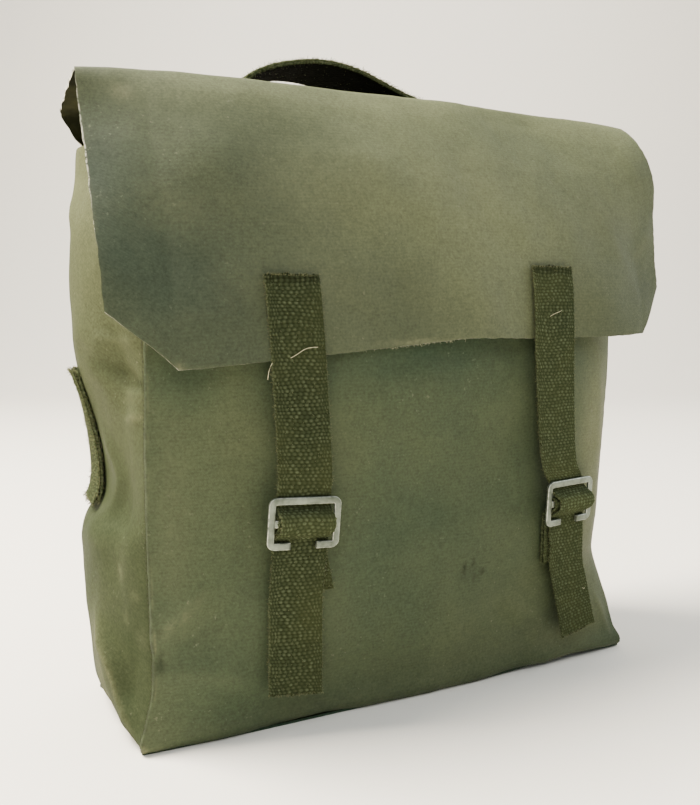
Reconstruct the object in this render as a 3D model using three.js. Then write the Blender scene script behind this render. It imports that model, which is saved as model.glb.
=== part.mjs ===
// A square military haversack of coated olive canvas, standing upright with its flap buckled down.
// Millimetres, +X to the wearer's left as seen from the front (right in a front view),
// the front faces -Y and +Z is up. Every cloth panel is a thin hollow-backed sheet of its own.

import * as THREE from 'three';
import { mergeVertices } from 'three/addons/utils/BufferGeometryUtils.js';

// Cloth, webbing and seams
const CANVAS_WALL = 1.6;
const WEB_WALL = 2.0;
const DOUBLED_WEB_WALL = 4.2;
const WEB_WIDTH = 33;
const SEAM_GAP = 0.3;
const LAP_GAP = 0.4;

// Heights of the body, and the rows that all four walls share so their seams run together
const BASE_TOP = CANVAS_WALL;
const MOUTH_HEIGHT = 340;
const WALL_HEIGHTS = [
  2.4, 8, 16, 30, 48, 68, 86, 104, 116, 123, 131, 143, 157, 174, 192, 208, 226, 250, 278, 308, MOUTH_HEIGHT,
];

// Grid steps of the panels
const FRONT_COLUMNS = 19;
const BACK_COLUMNS = 9;
const GUSSET_COLUMNS = 10;
const BASE_STEPS = { front: 14, side: 6, back: 8 };
const FLAP_FRONT_ROWS = 13;
const FLAP_CREST_DROPS = [0, 0.03, 0.08];

// Shares of the flap's width that its columns run down, close together at the chamfered corners
const FLAP_SHARES = [
  0, 0.0275, 0.055, 0.08, 0.105, 0.16, 0.22, 0.28, 0.34, 0.4, 0.46, 0.52,
  0.58, 0.64, 0.7, 0.76, 0.82, 0.88, 0.94, 0.955, 0.97, 0.985, 1,
];

// Front panel: a row per height, its two seams and the flat middle that stands forward of them
const FRONT_SECTIONS = [
  { height: 0, leftX: -174.5, leftY: -61, middleY: -64, rightX: 178, rightY: -60 },
  { height: 6, leftX: -176, leftY: -63, middleY: -66.5, rightX: 178.5, rightY: -61.5 },
  { height: 16, leftX: -173, leftY: -62.5, middleY: -67, rightX: 175, rightY: -57.5 },
  { height: 34, leftX: -168.5, leftY: -62, middleY: -69.5, rightX: 172, rightY: -53 },
  { height: 54, leftX: -167.5, leftY: -62, middleY: -71.5, rightX: 169, rightY: -46 },
  { height: 72, leftX: -168, leftY: -62, middleY: -73, rightX: 167.5, rightY: -40 },
  { height: 95, leftX: -168.8, leftY: -62, middleY: -74.8, rightX: 169, rightY: -41.5 },
  { height: 130, leftX: -169.4, leftY: -62, middleY: -76.2, rightX: 170, rightY: -43 },
  { height: 170, leftX: -169.2, leftY: -62, middleY: -76.5, rightX: 171, rightY: -45 },
  { height: 215, leftX: -168.3, leftY: -62, middleY: -75.2, rightX: 172, rightY: -46.5 },
  { height: 260, leftX: -168, leftY: -57, middleY: -68.5, rightX: 172, rightY: -46 },
  { height: 305, leftX: -167, leftY: -47, middleY: -56.5, rightX: 170, rightY: -41 },
  { height: 340, leftX: -166, leftY: -33, middleY: -41, rightX: 168, rightY: -34 },
];
const FRONT_LEFT_CURL = 4;
const FRONT_RIGHT_CURL = 5;

// Shallow hollows and swellings pressed into the front panel (depth is inward)
const FRONT_DENTS = [
  { x: 118, height: 34, spanX: 20, spanHeight: 16, depth: 3.2 },
  { x: 148, height: 64, spanX: 14, spanHeight: 20, depth: 3.0 },
  { x: 20, height: 214, spanX: 60, spanHeight: 20, depth: 1.8 },
  { x: -150, height: 60, spanX: 12, spanHeight: 26, depth: 2.0 },
  { x: -20, height: 30, spanX: 50, spanHeight: 14, depth: 1.6 },
];

// Back panel, laid against the wearer
const BACK_SECTIONS = [
  { height: 0, leftX: -174, leftY: 46, rightX: 174, rightY: 46, bow: 2 },
  { height: 16, leftX: -173, leftY: 51, rightX: 172, rightY: 51, bow: 3 },
  { height: 40, leftX: -170, leftY: 56, rightX: 169, rightY: 56, bow: 4 },
  { height: 75, leftX: -168, leftY: 60.5, rightX: 167, rightY: 60.5, bow: 5 },
  { height: 170, leftX: -168, leftY: 62, rightX: 169, rightY: 62, bow: 6 },
  { height: 260, leftX: -168, leftY: 61, rightX: 170, rightY: 61, bow: 6 },
  { height: 340, leftX: -166, leftY: 59, rightX: 167, rightY: 59, bow: 5 },
];

// Gussets: how far each side swells out at a height; the waist lies under the side loop
const GUSSET_BOWS = [
  { height: 0, left: -5, right: 2 },
  { height: 4, left: -2, right: 3.4 },
  { height: 10, left: 4, right: 5 },
  { height: 17, left: 9.5, right: 6.6 },
  { height: 24, left: 12.5, right: 8 },
  { height: 45, left: 17.5, right: 11 },
  { height: 74, left: 20, right: 13 },
  { height: 100, left: 20, right: 15 },
  { height: 114, left: 19.8, right: 14 },
  { height: 121, left: 17, right: 12 },
  { height: 128, left: 11, right: 10 },
  { height: 136, left: 7.5, right: 9 },
  { height: 145, left: 6.5, right: 8 },
  { height: 168, left: 8, right: 8 },
  { height: 190, left: 14, right: 11 },
  { height: 208, left: 19.5, right: 15 },
  { height: 225, left: 22.8, right: 17 },
  { height: 258, left: 24, right: 18 },
  { height: 305, left: 22, right: 17 },
  { height: 340, left: 18, right: 15 },
];

// Folds and hollows of the gussets (depth is inward, a minus depth is a ridge)
const LEFT_GUSSET_DENTS = [
  { y: -42, height: 218, spanY: 12, spanHeight: 24, depth: 6 },
  { y: -10, height: 232, spanY: 12, spanHeight: 14, depth: -2.5 },
  { y: -24, height: 36, spanY: 11, spanHeight: 26, depth: -2.5 },
  { y: -34, height: 120, spanY: 12, spanHeight: 50, depth: 2.5 },
  { y: 0, height: 322, spanY: 22, spanHeight: 22, depth: 5 },
];
const RIGHT_GUSSET_DENTS = [
  { y: -30, height: 214, spanY: 14, spanHeight: 22, depth: 4 },
  { y: -22, height: 58, spanY: 16, spanHeight: 20, depth: 4 },
  { y: 4, height: 322, spanY: 22, spanHeight: 22, depth: 4 },
];

// Flap behind the crest: from the hem sewn on the back panel up over the rear fold
const FLAP_HEM = [
  { height: 316, leftX: -166, rightX: 168 },
  { height: 330, leftX: -166.5, rightX: 168 },
  { height: 342, leftX: -168, rightX: 170 },
];
const FLAP_REAR = [
  { y: 61.5, middleY: 66, height: 352, middleHeight: 354, leftX: -175, rightX: 175 },
  { y: 58, middleY: 61.5, height: 360, middleHeight: 362, leftX: -181, rightX: 179 },
  { y: 51, middleY: 53, height: 366, middleHeight: 368, leftX: -186, rightX: 183 },
  { y: 36, middleY: 36, height: 369.5, middleHeight: 372, leftX: -187.5, rightX: 187 },
  { y: 18, middleY: 17, height: 373, middleHeight: 376, leftX: -188.5, rightX: 191 },
  { y: 2, middleY: -1, height: 376, middleHeight: 380, leftX: -189.5, rightX: 193 },
];

// Flap in front: drop is the share of the way from the crest to the cut lower edge
const FLAP_FRONT = [
  { drop: 0, leftY: -13, middleY: -17, rightY: -24, leftX: -190, rightX: 194 },
  { drop: 0.03, leftY: -17, middleY: -23, rightY: -31, leftX: -190.5, rightX: 194.5 },
  { drop: 0.09, leftY: -19, middleY: -31, rightY: -39, leftX: -190.5, rightX: 195.5 },
  { drop: 0.18, leftY: -22, middleY: -41, rightY: -47, leftX: -190.5, rightX: 197 },
  { drop: 0.28, leftY: -28, middleY: -51, rightY: -52, leftX: -190.5, rightX: 199 },
  { drop: 0.42, leftY: -36, middleY: -61, rightY: -54, leftX: -190, rightX: 202 },
  { drop: 0.58, leftY: -45, middleY: -69, rightY: -55, leftX: -190, rightX: 202 },
  { drop: 0.78, leftY: -57, middleY: -76.5, rightY: -57, leftX: -190, rightX: 203 },
  { drop: 1, leftY: -66, middleY: -80.5, rightY: -60, leftX: -190, rightX: 203 },
];
const FLAP_CREST = { left: 379, middle: 382, right: 375 };
const FLAP_LEFT_CURL = 5;
const FLAP_RIGHT_CURL = 4;

// Cut lower edge of the flap, left to right, with its two chamfered corners
const FLAP_HEM_LINE = [
  { across: 0, height: 246 },
  { across: 0.055, height: 230 },
  { across: 0.105, height: 215 },
  { across: 0.22, height: 218.5 },
  { across: 0.34, height: 222 },
  { across: 0.46, height: 225.5 },
  { across: 0.55, height: 228.5 },
  { across: 0.7, height: 227.5 },
  { across: 0.86, height: 227.5 },
  { across: 0.94, height: 228.5 },
  { across: 0.97, height: 243 },
  { across: 1, height: 261 },
];
const FLAP_RIPPLES = [
  { x: 48, height: 232, spanX: 26, spanHeight: 26, depth: -2.4 },
  { x: -142, height: 236, spanX: 24, spanHeight: 30, depth: -2.0 },
  { x: 150, height: 250, spanX: 26, spanHeight: 40, depth: -3.0 },
  { x: -30, height: 330, spanX: 50, spanHeight: 22, depth: -1.8 },
];

// Closing straps, with the buckles and chapes they run through; a buckle stands off the front panel
// and leans clockwise; leadDrift, barDrift and tailDrift carry the strap sideways above it, over its
// bar and below it, and chapeDrift carries the chape's lower end
const STRAPS = [
  {
    side: 'left', topX: -88.5, topHeight: 265.6, edgeX: -87, buckleX: -85.4, buckleHeight: 127.6,
    lean: 3.3, leadDrift: 0, barDrift: 1, tailDrift: -1, tailX: -88.5, tailHeight: 25, tailTilt: -1.9,
    chapeDrift: 7, standoff: 9,
  },
  {
    side: 'right', topX: 95, topHeight: 272.8, edgeX: 93.5, buckleX: 106.8, buckleHeight: 120,
    lean: 0, leadDrift: -9, barDrift: 3, tailDrift: 5, tailX: 127, tailHeight: 26, tailTilt: 2,
    chapeDrift: 1, standoff: 9.3,
  },
];
const STRAP_FLAP_ROWS = 6;
const STRAP_EDGE_GUESS = 225;
const STRAP_OVERHANG = 4;
const STRAP_LIFT = LAP_GAP + WEB_WALL / 2 + 0.3;
const STRAP_CURVE_STEPS = 2;
const BUCKLE_SPAN_ABOVE = 4;
const BUCKLE_SPAN_BELOW = 40;
const TAIL_SHARES = [0.3, 0.65, 1];
const TAIL_SETTLE = 2.5;
const TAIL_CLEAR = 1.2;

// Buckle: a flat frame with a centre bar; the lower side is two hooks with a gap between
const BUCKLE = {
  halfWidth: 22, halfHeight: 15, strip: 4.2, thickness: 2, corner: 4.5, window: 2,
  halfBar: 2.1, halfGap: 8, hookEnd: 1.5, bevel: 0.4,
};

// Length of strap above and below the bar's middle that barDrift carries sideways
const BAR_REACH = 6;

// Path of the strap through the buckle: distance up the strap and out from the buckle's middle plane
const STRAP_THROUGH = [
  { up: 26, out: -2.7 },
  { up: 17, out: -2.65 },
  { up: 10.4, out: -2.65 },
  { up: 8.7, out: -1.95 },
  { up: 7, out: 0.1 },
  { up: 5.6, out: 2.5 },
  { up: 3.9, out: 4.3 },
  { up: 1.4, out: 4.9 },
  { up: -1.4, out: 4.9 },
  { up: -3.9, out: 4.3 },
  { up: -5.7, out: 2.5 },
  { up: -7.2, out: 0.1 },
  { up: -8.8, out: -1.95 },
  { up: -10.4, out: -2.7 },
  { up: -17, out: -2.7 },
  { up: -30, out: -2.7 },
  { up: -44, out: -2.8 },
];

// Path of the chape, down the front of the loop's first layer, round the bar and down the back
const CHAPE_LOOP = [
  { up: -41, out: -5.15 },
  { up: -30, out: -5.15 },
  { up: -16, out: -5.15 },
  { up: -11, out: -5.15 },
  { up: -8.6, out: -4.75 },
  { up: -6.8, out: -3.3 },
  { up: -5.2, out: -1.2 },
  { up: -3.8, out: 0.8 },
  { up: -2.2, out: 2.15 },
  { up: 0, out: 2.4 },
  { up: 2, out: 2.2 },
  { up: 3.3, out: 1.2 },
  { up: 3.6, out: 0 },
  { up: 3.3, out: -1.2 },
  { up: 2, out: -2.3 },
  { up: -0.5, out: -2.45 },
  { up: -2.4, out: -2.65 },
  { up: -4, out: -3.7 },
  { up: -5.8, out: -5.5 },
  { up: -8.2, out: -7.2 },
  { up: -11, out: -7.6 },
  { up: -16, out: -7.6 },
  { up: -30, out: -7.6 },
  { up: -41, out: -7.6 },
];

// Carry handle: a webbing bridge along X, sewn flat on the flap behind the crest
const HANDLE_MIDDLE_Y = 31;
const HANDLE_LIFT = LAP_GAP + DOUBLED_WEB_WALL / 2 + 0.3;

// For each millimetre that the handle rises, its rear edge leans left and stands higher than its front one
const HANDLE_LEAN = 0.55;
const HANDLE_REAR_RISE = 0.02;
const HANDLE_PATH = [
  { x: -110, rise: 0 },
  { x: -100, rise: 0 },
  { x: -91, rise: 0.6 },
  { x: -84.5, rise: 4.5 },
  { x: -79, rise: 10.5 },
  { x: -71, rise: 16.5 },
  { x: -60, rise: 21.2 },
  { x: -46, rise: 25 },
  { x: -28, rise: 27.6 },
  { x: -12, rise: 27.2 },
  { x: 5, rise: 24 },
  { x: 24, rise: 17.6 },
  { x: 40, rise: 12.4 },
  { x: 56, rise: 8 },
  { x: 72, rise: 3.6 },
  { x: 84, rise: 0.6 },
  { x: 94, rise: 0 },
  { x: 104, rise: 0 },
];

// Side loop on each gusset: a short doubled length sewn top and bottom
const LOOP_FRONT_Y = 6;
const LOOP_PATH = [
  { height: 131, clear: 1.2 },
  { height: 137, clear: 1.1 },
  { height: 145, clear: 1.1 },
  { height: 155, clear: 1.3 },
  { height: 167, clear: 1.4 },
  { height: 180, clear: 1.3 },
  { height: 192, clear: 1.0 },
  { height: 201, clear: 0.8 },
  { height: 210, clear: 0.8 },
];

// Colours of the materials
const CANVAS_GREEN = 0x6a6e4c;
const CANVAS_PALE = 0x8c8c66;
const WEB_GREEN = 0x55552c;
const ZINC_GREY = 0xb4b8b0;

// Steps of the searches along the flap, and the grain to which a piece's points are merged
const FRONT_SEARCH_STEPS = 12;
const TOP_SEARCH_STEPS = 24;
const MERGE_GRAIN = 1e-4;

// Reach along a panel over which its slant at a seam is read: share of its width, and height
const SLANT_SHARE = 0.02;
const SLANT_HEIGHT = 3;

// A smooth value between the rows of a table, with no overshoot at its ends
function alongTable(table, key, column, at) {
  const last = table.length - 1;
  if (at <= table[0][key]) return table[0][column];
  if (at >= table[last][key]) return table[last][column];
  let low = 0;
  while (table[low + 1][key] < at) low += 1;
  const slope = (from, to) => {
    const rise = table[to][column] - table[from][column];
    return rise / (table[to][key] - table[from][key]);
  };
  const span = table[low + 1][key] - table[low][key];
  const share = (at - table[low][key]) / span;
  const middle = slope(low, low + 1);
  const before = low > 0 ? slope(low - 1, low) : middle;
  const after = low + 1 < last ? slope(low + 1, low + 2) : middle;
  const startSlope = before * middle > 0 ? (before + middle) / 2 : 0;
  const endSlope = middle * after > 0 ? (middle + after) / 2 : 0;
  const square = share * share;
  const cube = square * share;
  return table[low][column] * (2 * cube - 3 * square + 1)
    + startSlope * span * (cube - 2 * square + share)
    + table[low + 1][column] * (3 * square - 2 * cube)
    + endSlope * span * (cube - square);
}

// A straight value between the rows of a table, which keeps its corners sharp
function straightTable(table, key, column, at) {
  let low = 0;
  while (low + 2 < table.length && table[low + 1][key] < at) low += 1;
  const share = (at - table[low][key]) / (table[low + 1][key] - table[low][key]);
  return THREE.MathUtils.lerp(table[low][column], table[low + 1][column], share);
}

// Bell-shaped swellings of a panel, summed over its table of dents
function dentDepth(dents, key, spanKey, at, height) {
  let depth = 0;
  for (const dent of dents) {
    const across = (at - dent[key]) / dent[spanKey];
    const upward = (height - dent.height) / dent.spanHeight;
    depth += dent.depth * Math.exp(-(across * across) - upward * upward);
  }
  return depth;
}

// Bow of a panel between its seams: none at either seam, whole in the middle
function bowShare(across) {
  return 4 * across * (1 - across);
}

// Dents fade out at the seams, where the sewing holds the cloth
function seamFade(across) {
  return Math.min(1, 6 * Math.min(across, 1 - across));
}

// Two edge values and a flat middle one, with its own curl at each side
function curledAcross(across, left, middle, right, leftCurl, rightCurl) {
  const toLeft = Math.max(0, 1 - 2 * across) ** leftCurl;
  const toRight = Math.max(0, 2 * across - 1) ** rightCurl;
  return middle + (left - middle) * toLeft + (right - middle) * toRight;
}

// The same with the flap's curls
function acrossFlap(across, left, middle, right) {
  return curledAcross(across, left, middle, right, FLAP_LEFT_CURL, FLAP_RIGHT_CURL);
}

// A point of the front panel's outer face, by its share of the way between the seams
function frontPoint(across, height) {
  const at = (column) => alongTable(FRONT_SECTIONS, 'height', column, height);
  const x = THREE.MathUtils.lerp(at('leftX'), at('rightX'), across);
  const sides = [at('leftY'), at('middleY'), at('rightY')];
  const dent = dentDepth(FRONT_DENTS, 'x', 'spanX', x, height) * seamFade(across);
  const y = curledAcross(across, ...sides, FRONT_LEFT_CURL, FRONT_RIGHT_CURL) + dent;
  return new THREE.Vector3(x, y, height);
}

// The same face by its place along X
function frontAt(x, height) {
  const leftX = alongTable(FRONT_SECTIONS, 'height', 'leftX', height);
  const rightX = alongTable(FRONT_SECTIONS, 'height', 'rightX', height);
  return frontPoint((x - leftX) / (rightX - leftX), height);
}

function backPoint(across, height) {
  const at = (column) => alongTable(BACK_SECTIONS, 'height', column, height);
  const x = THREE.MathUtils.lerp(at('leftX'), at('rightX'), across);
  const chord = THREE.MathUtils.lerp(at('leftY'), at('rightY'), across);
  return new THREE.Vector3(x, chord + at('bow') * bowShare(across), height);
}

// Depth along Y of a slanting wall of cloth at a seam, with the gap beside it
function seamInset(pointAt, across, height) {
  const step = across < 0.5 ? SLANT_SHARE : -SLANT_SHARE;
  const here = pointAt(across, height);
  const acrossWay = pointAt(across + step, height).sub(here);
  const low = pointAt(across, Math.max(0, height - SLANT_HEIGHT));
  const alongWay = pointAt(across, Math.min(MOUTH_HEIGHT, height + SLANT_HEIGHT)).sub(low);
  const normal = acrossWay.cross(alongWay).normalize();
  return CANVAS_WALL / Math.abs(normal.y) + SEAM_GAP;
}

// A gusset lies between the inner faces of the front and back panels; sign is -1 left, +1 right
function gussetPoint(sign, across, height) {
  const edge = sign < 0 ? 'left' : 'right';
  const dents = sign < 0 ? LEFT_GUSSET_DENTS : RIGHT_GUSSET_DENTS;
  const seam = sign < 0 ? 0 : 1;
  const front = (axis) => alongTable(FRONT_SECTIONS, 'height', edge + axis, height);
  const back = (axis) => alongTable(BACK_SECTIONS, 'height', edge + axis, height);
  const x = THREE.MathUtils.lerp(front('X'), back('X'), across);
  const frontY = front('Y') + seamInset(frontPoint, seam, height);
  const backY = back('Y') - seamInset(backPoint, seam, height);
  const y = THREE.MathUtils.lerp(frontY, backY, across);
  const bow = alongTable(GUSSET_BOWS, 'height', edge, height) * bowShare(across);
  const dent = dentDepth(dents, 'y', 'spanY', y, height) * seamFade(across);
  return new THREE.Vector3(x + sign * (bow - dent), y, height);
}

// A point of the flap's outer face in front of the crest
function flapFront(across, drop) {
  const at = (column) => alongTable(FLAP_FRONT, 'drop', column, drop);
  const crest = acrossFlap(across, FLAP_CREST.left, FLAP_CREST.middle, FLAP_CREST.right);
  const hem = straightTable(FLAP_HEM_LINE, 'across', 'height', across);
  const x = THREE.MathUtils.lerp(at('leftX'), at('rightX'), across);
  const height = THREE.MathUtils.lerp(crest, hem, drop);
  const ripple = dentDepth(FLAP_RIPPLES, 'x', 'spanX', x, height);
  const y = acrossFlap(across, at('leftY'), at('middleY'), at('rightY')) + ripple;
  return new THREE.Vector3(x, y, height);
}

// The same face by place along X and height
function flapFrontAt(x, height) {
  let drop = 0.8;
  let across = 0.5;
  for (let step = 0; step < FRONT_SEARCH_STEPS; step += 1) {
    const leftX = alongTable(FLAP_FRONT, 'drop', 'leftX', drop);
    const rightX = alongTable(FLAP_FRONT, 'drop', 'rightX', drop);
    across = (x - leftX) / (rightX - leftX);
    const crest = acrossFlap(across, FLAP_CREST.left, FLAP_CREST.middle, FLAP_CREST.right);
    const hem = straightTable(FLAP_HEM_LINE, 'across', 'height', across);
    drop = (crest - height) / (crest - hem);
  }
  return flapFront(across, drop);
}

// A point of the flap's outer face on the rear fold and top; row may fall between table rows
function flapRear(across, row) {
  const rows = FLAP_REAR.map((entry, index) => ({ ...entry, index }));
  const at = (column) => alongTable(rows, 'index', column, row);
  const x = THREE.MathUtils.lerp(at('leftX'), at('rightX'), across);
  const middle = bowShare(across);
  const y = THREE.MathUtils.lerp(at('y'), at('middleY'), middle);
  return new THREE.Vector3(x, y, THREE.MathUtils.lerp(at('height'), at('middleHeight'), middle));
}

// Height of the flap's top over a place behind the crest
function flapTopHeight(x, y) {
  let low = 0;
  let high = FLAP_REAR.length - 1;
  let point = flapRear(0.5, low);
  for (let step = 0; step < TOP_SEARCH_STEPS; step += 1) {
    const row = (low + high) / 2;
    const leftX = flapRear(0, row).x;
    const rightX = flapRear(1, row).x;
    point = flapRear((x - leftX) / (rightX - leftX), row);
    if (point.y > y) low = row;
    else high = row;
  }
  return point.z;
}

// A grid of points, rows by columns
function gridOf(rows, columns, pointAt) {
  const grid = [];
  for (let row = 0; row < rows; row += 1) {
    const line = [];
    for (let column = 0; column < columns; column += 1) line.push(pointAt(row, column));
    grid.push(line);
  }
  return grid;
}

// Unit normals of a grid, along the cross product of its column and row directions
function gridNormals(grid) {
  const rows = grid.length;
  const columns = grid[0].length;
  return gridOf(rows, columns, (row, column) => {
    const left = grid[row][Math.max(0, column - 1)];
    const right = grid[row][Math.min(columns - 1, column + 1)];
    const below = grid[Math.max(0, row - 1)][column];
    const above = grid[Math.min(rows - 1, row + 1)][column];
    const acrossWay = right.clone().sub(left);
    const alongWay = above.clone().sub(below);
    return acrossWay.cross(alongWay).normalize();
  });
}

// A closed solid between two grids of the same size
function solidBetween(outer, inner) {
  const rows = outer.length;
  const columns = outer[0].length;
  const positions = [];
  for (const grid of [outer, inner]) {
    for (const line of grid) {
      for (const point of line) positions.push(point.x, point.y, point.z);
    }
  }
  const innerStart = rows * columns;
  const indices = [];
  const quad = (a, b, c, d) => indices.push(a, b, c, a, c, d);
  for (let row = 0; row + 1 < rows; row += 1) {
    for (let column = 0; column + 1 < columns; column += 1) {
      const a = row * columns + column;
      const b = a + 1;
      const c = b + columns;
      const d = a + columns;
      quad(a, b, c, d);
      quad(innerStart + d, innerStart + c, innerStart + b, innerStart + a);
    }
  }
  const rim = [];
  for (let column = 0; column < columns; column += 1) rim.push(column);
  for (let row = 1; row < rows; row += 1) rim.push(row * columns + columns - 1);
  for (let column = columns - 2; column >= 0; column -= 1) rim.push((rows - 1) * columns + column);
  for (let row = rows - 2; row > 0; row -= 1) rim.push(row * columns);
  rim.forEach((here, index) => {
    const next = rim[(index + 1) % rim.length];
    quad(here, innerStart + here, innerStart + next, next);
  });
  const geometry = new THREE.BufferGeometry();
  geometry.setAttribute('position', new THREE.Float32BufferAttribute(positions, 3));
  geometry.setIndex(indices);
  return geometry;
}

// A sheet given by its outer face; the wall lies behind it
function sheetSolid(outer, wall) {
  const normals = gridNormals(outer);
  const inner = gridOf(outer.length, outer[0].length, (row, column) => (
    outer[row][column].clone().addScaledVector(normals[row][column], -wall)
  ));
  return solidBetween(outer, inner);
}

// A ribbon given by its middle surface
function ribbonSolid(middle, wall) {
  const normals = gridNormals(middle);
  const shifted = (distance) => gridOf(middle.length, middle[0].length, (row, column) => (
    middle[row][column].clone().addScaledVector(normals[row][column], distance)
  ));
  return solidBetween(shifted(wall / 2), shifted(-wall / 2));
}

// Three lines of points joined by smooth curves, with more rows than were given
function smoothRows(grid, stepsPerRow) {
  const columns = grid[0].length;
  const curves = [];
  for (let column = 0; column < columns; column += 1) {
    const points = grid.map((line) => line[column]);
    curves.push(new THREE.CatmullRomCurve3(points, false, 'centripetal'));
  }
  const rows = (grid.length - 1) * stepsPerRow + 1;
  return gridOf(rows, columns, (row, column) => curves[column].getPoint(row / (rows - 1)));
}

function frontPanel() {
  const grid = gridOf(WALL_HEIGHTS.length, FRONT_COLUMNS, (row, column) => (
    frontPoint(column / (FRONT_COLUMNS - 1), WALL_HEIGHTS[row])
  ));
  return sheetSolid(grid, CANVAS_WALL);
}

function backPanel() {
  const grid = gridOf(WALL_HEIGHTS.length, BACK_COLUMNS, (row, column) => (
    backPoint(1 - column / (BACK_COLUMNS - 1), WALL_HEIGHTS[row])
  ));
  return sheetSolid(grid, CANVAS_WALL);
}

function gusset(sign) {
  const grid = gridOf(WALL_HEIGHTS.length, GUSSET_COLUMNS, (row, column) => {
    const share = column / (GUSSET_COLUMNS - 1);
    return gussetPoint(sign, sign < 0 ? 1 - share : share, WALL_HEIGHTS[row]);
  });
  return sheetSolid(grid, CANVAS_WALL);
}

// The base is a flat sheet under the walls, cut to the outline of their feet
function basePanel() {
  const outline = [];
  const addSide = (steps, pointAt) => {
    for (let step = 0; step < steps; step += 1) {
      const point = pointAt(step / steps);
      outline.push(new THREE.Vector2(point.x, point.y));
    }
  };
  addSide(BASE_STEPS.front, (share) => frontPoint(share, 0));
  addSide(BASE_STEPS.side, (share) => gussetPoint(1, share, 0));
  addSide(BASE_STEPS.back, (share) => backPoint(1 - share, 0));
  addSide(BASE_STEPS.side, (share) => gussetPoint(-1, 1 - share, 0));
  const shape = new THREE.Shape(outline);
  return new THREE.ExtrudeGeometry(shape, { depth: BASE_TOP, bevelEnabled: false });
}

// The flap runs from the hem on the back panel, over the rear fold and crest, down the front
function flap() {
  const lift = CANVAS_WALL + SEAM_GAP;
  const grid = [];
  const shares = [...FLAP_SHARES].reverse();
  for (const hem of FLAP_HEM) {
    grid.push(shares.map((across) => {
      const point = backPoint(across, Math.min(hem.height, MOUTH_HEIGHT));
      const x = THREE.MathUtils.lerp(hem.leftX, hem.rightX, across);
      return new THREE.Vector3(x, point.y + lift, hem.height);
    }));
  }
  FLAP_REAR.forEach((entry, row) => {
    grid.push(shares.map((across) => flapRear(across, row)));
  });
  const drops = [...FLAP_CREST_DROPS];
  const lastDrop = drops[drops.length - 1];
  for (let row = 1; row <= FLAP_FRONT_ROWS; row += 1) {
    drops.push(THREE.MathUtils.lerp(lastDrop, 1, row / FLAP_FRONT_ROWS));
  }
  for (const drop of drops) {
    grid.push(shares.map((across) => flapFront(across, drop)));
  }
  return sheetSolid(grid, CANVAS_WALL);
}

// Axes of a buckle lying on the front panel: across, up and out, turned by the strap's lean
function buckleFrame(strap) {
  const centre = frontAt(strap.buckleX, strap.buckleHeight);
  const acrossWay = frontAt(strap.buckleX + WEB_WIDTH / 2, strap.buckleHeight)
    .sub(frontAt(strap.buckleX - WEB_WIDTH / 2, strap.buckleHeight)).normalize();
  const upWay = frontAt(strap.buckleX, strap.buckleHeight + BUCKLE_SPAN_ABOVE)
    .sub(frontAt(strap.buckleX, strap.buckleHeight - BUCKLE_SPAN_BELOW)).normalize();
  const out = acrossWay.clone().cross(upWay).normalize();
  const up = out.clone().cross(acrossWay).normalize();
  const turn = new THREE.Quaternion().setFromAxisAngle(out, THREE.MathUtils.degToRad(-strap.lean));
  const across = acrossWay.applyQuaternion(turn);
  up.applyQuaternion(turn);
  return { centre: centre.addScaledVector(out, strap.standoff), across, up, out };
}

// A row of three points over the webbing's width, in the frame of the buckle
function frameRow(frame, entry, shift) {
  return [-1, 0, 1].map((side) => frame.centre.clone()
    .addScaledVector(frame.across, (side * WEB_WIDTH) / 2 + shift)
    .addScaledVector(frame.up, entry.up)
    .addScaledVector(frame.out, entry.out));
}

// The closing strap: sewn on the flap, through the buckle, then a hanging tail
function closingStrap(strap) {
  const frame = buckleFrame(strap);
  const rows = [];
  const edgeHeight = flapFrontAt(strap.edgeX, STRAP_EDGE_GUESS).z;
  for (let row = 0; row < STRAP_FLAP_ROWS; row += 1) {
    const share = row / (STRAP_FLAP_ROWS - 1);
    const height = THREE.MathUtils.lerp(strap.topHeight, edgeHeight - STRAP_OVERHANG, share);
    const middleX = THREE.MathUtils.lerp(strap.topX, strap.edgeX, share);
    rows.push([-1, 0, 1].map((side) => {
      const point = flapFrontAt(middleX + (side * WEB_WIDTH) / 2, height);
      point.y -= STRAP_LIFT;
      return point;
    }));
  }
  const clearOfFrame = BUCKLE.halfHeight - BUCKLE.strip;
  const highest = STRAP_THROUGH[0].up - clearOfFrame;
  const lowest = STRAP_THROUGH[STRAP_THROUGH.length - 1].up;
  for (const entry of STRAP_THROUGH) {
    const lead = Math.max(0, (entry.up - clearOfFrame) / highest) * strap.leadDrift;
    const over = Math.max(0, 1 - (entry.up / BAR_REACH) ** 2) * strap.barDrift;
    const trail = Math.max(0, entry.up / lowest) * strap.tailDrift;
    rows.push(frameRow(frame, entry, lead + over + trail));
  }
  const knot = rows[rows.length - 1];
  for (const share of TAIL_SHARES) {
    rows.push(knot.map((point, column) => {
      const footX = strap.tailX + ((column - 1) * WEB_WIDTH) / 2;
      const footHeight = strap.tailHeight + (column - 1) * strap.tailTilt;
      const foot = new THREE.Vector3(footX, point.y + TAIL_SETTLE, footHeight);
      const hanging = point.clone().lerp(foot, share);
      const panel = frontAt(hanging.x, hanging.z).y;
      hanging.y = Math.min(hanging.y, panel - TAIL_CLEAR - WEB_WALL / 2);
      return hanging;
    }));
  }
  return ribbonSolid(smoothRows(rows, STRAP_CURVE_STEPS), WEB_WALL);
}

function chape(strap) {
  const frame = buckleFrame(strap);
  const below = -CHAPE_LOOP[0].up - BUCKLE.halfHeight;
  const rows = CHAPE_LOOP.map((entry) => {
    const hang = Math.max(0, -entry.up - BUCKLE.halfHeight) / below;
    return frameRow(frame, entry, hang * strap.chapeDrift);
  });
  return ribbonSolid(smoothRows(rows, STRAP_CURVE_STEPS), WEB_WALL);
}

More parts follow.
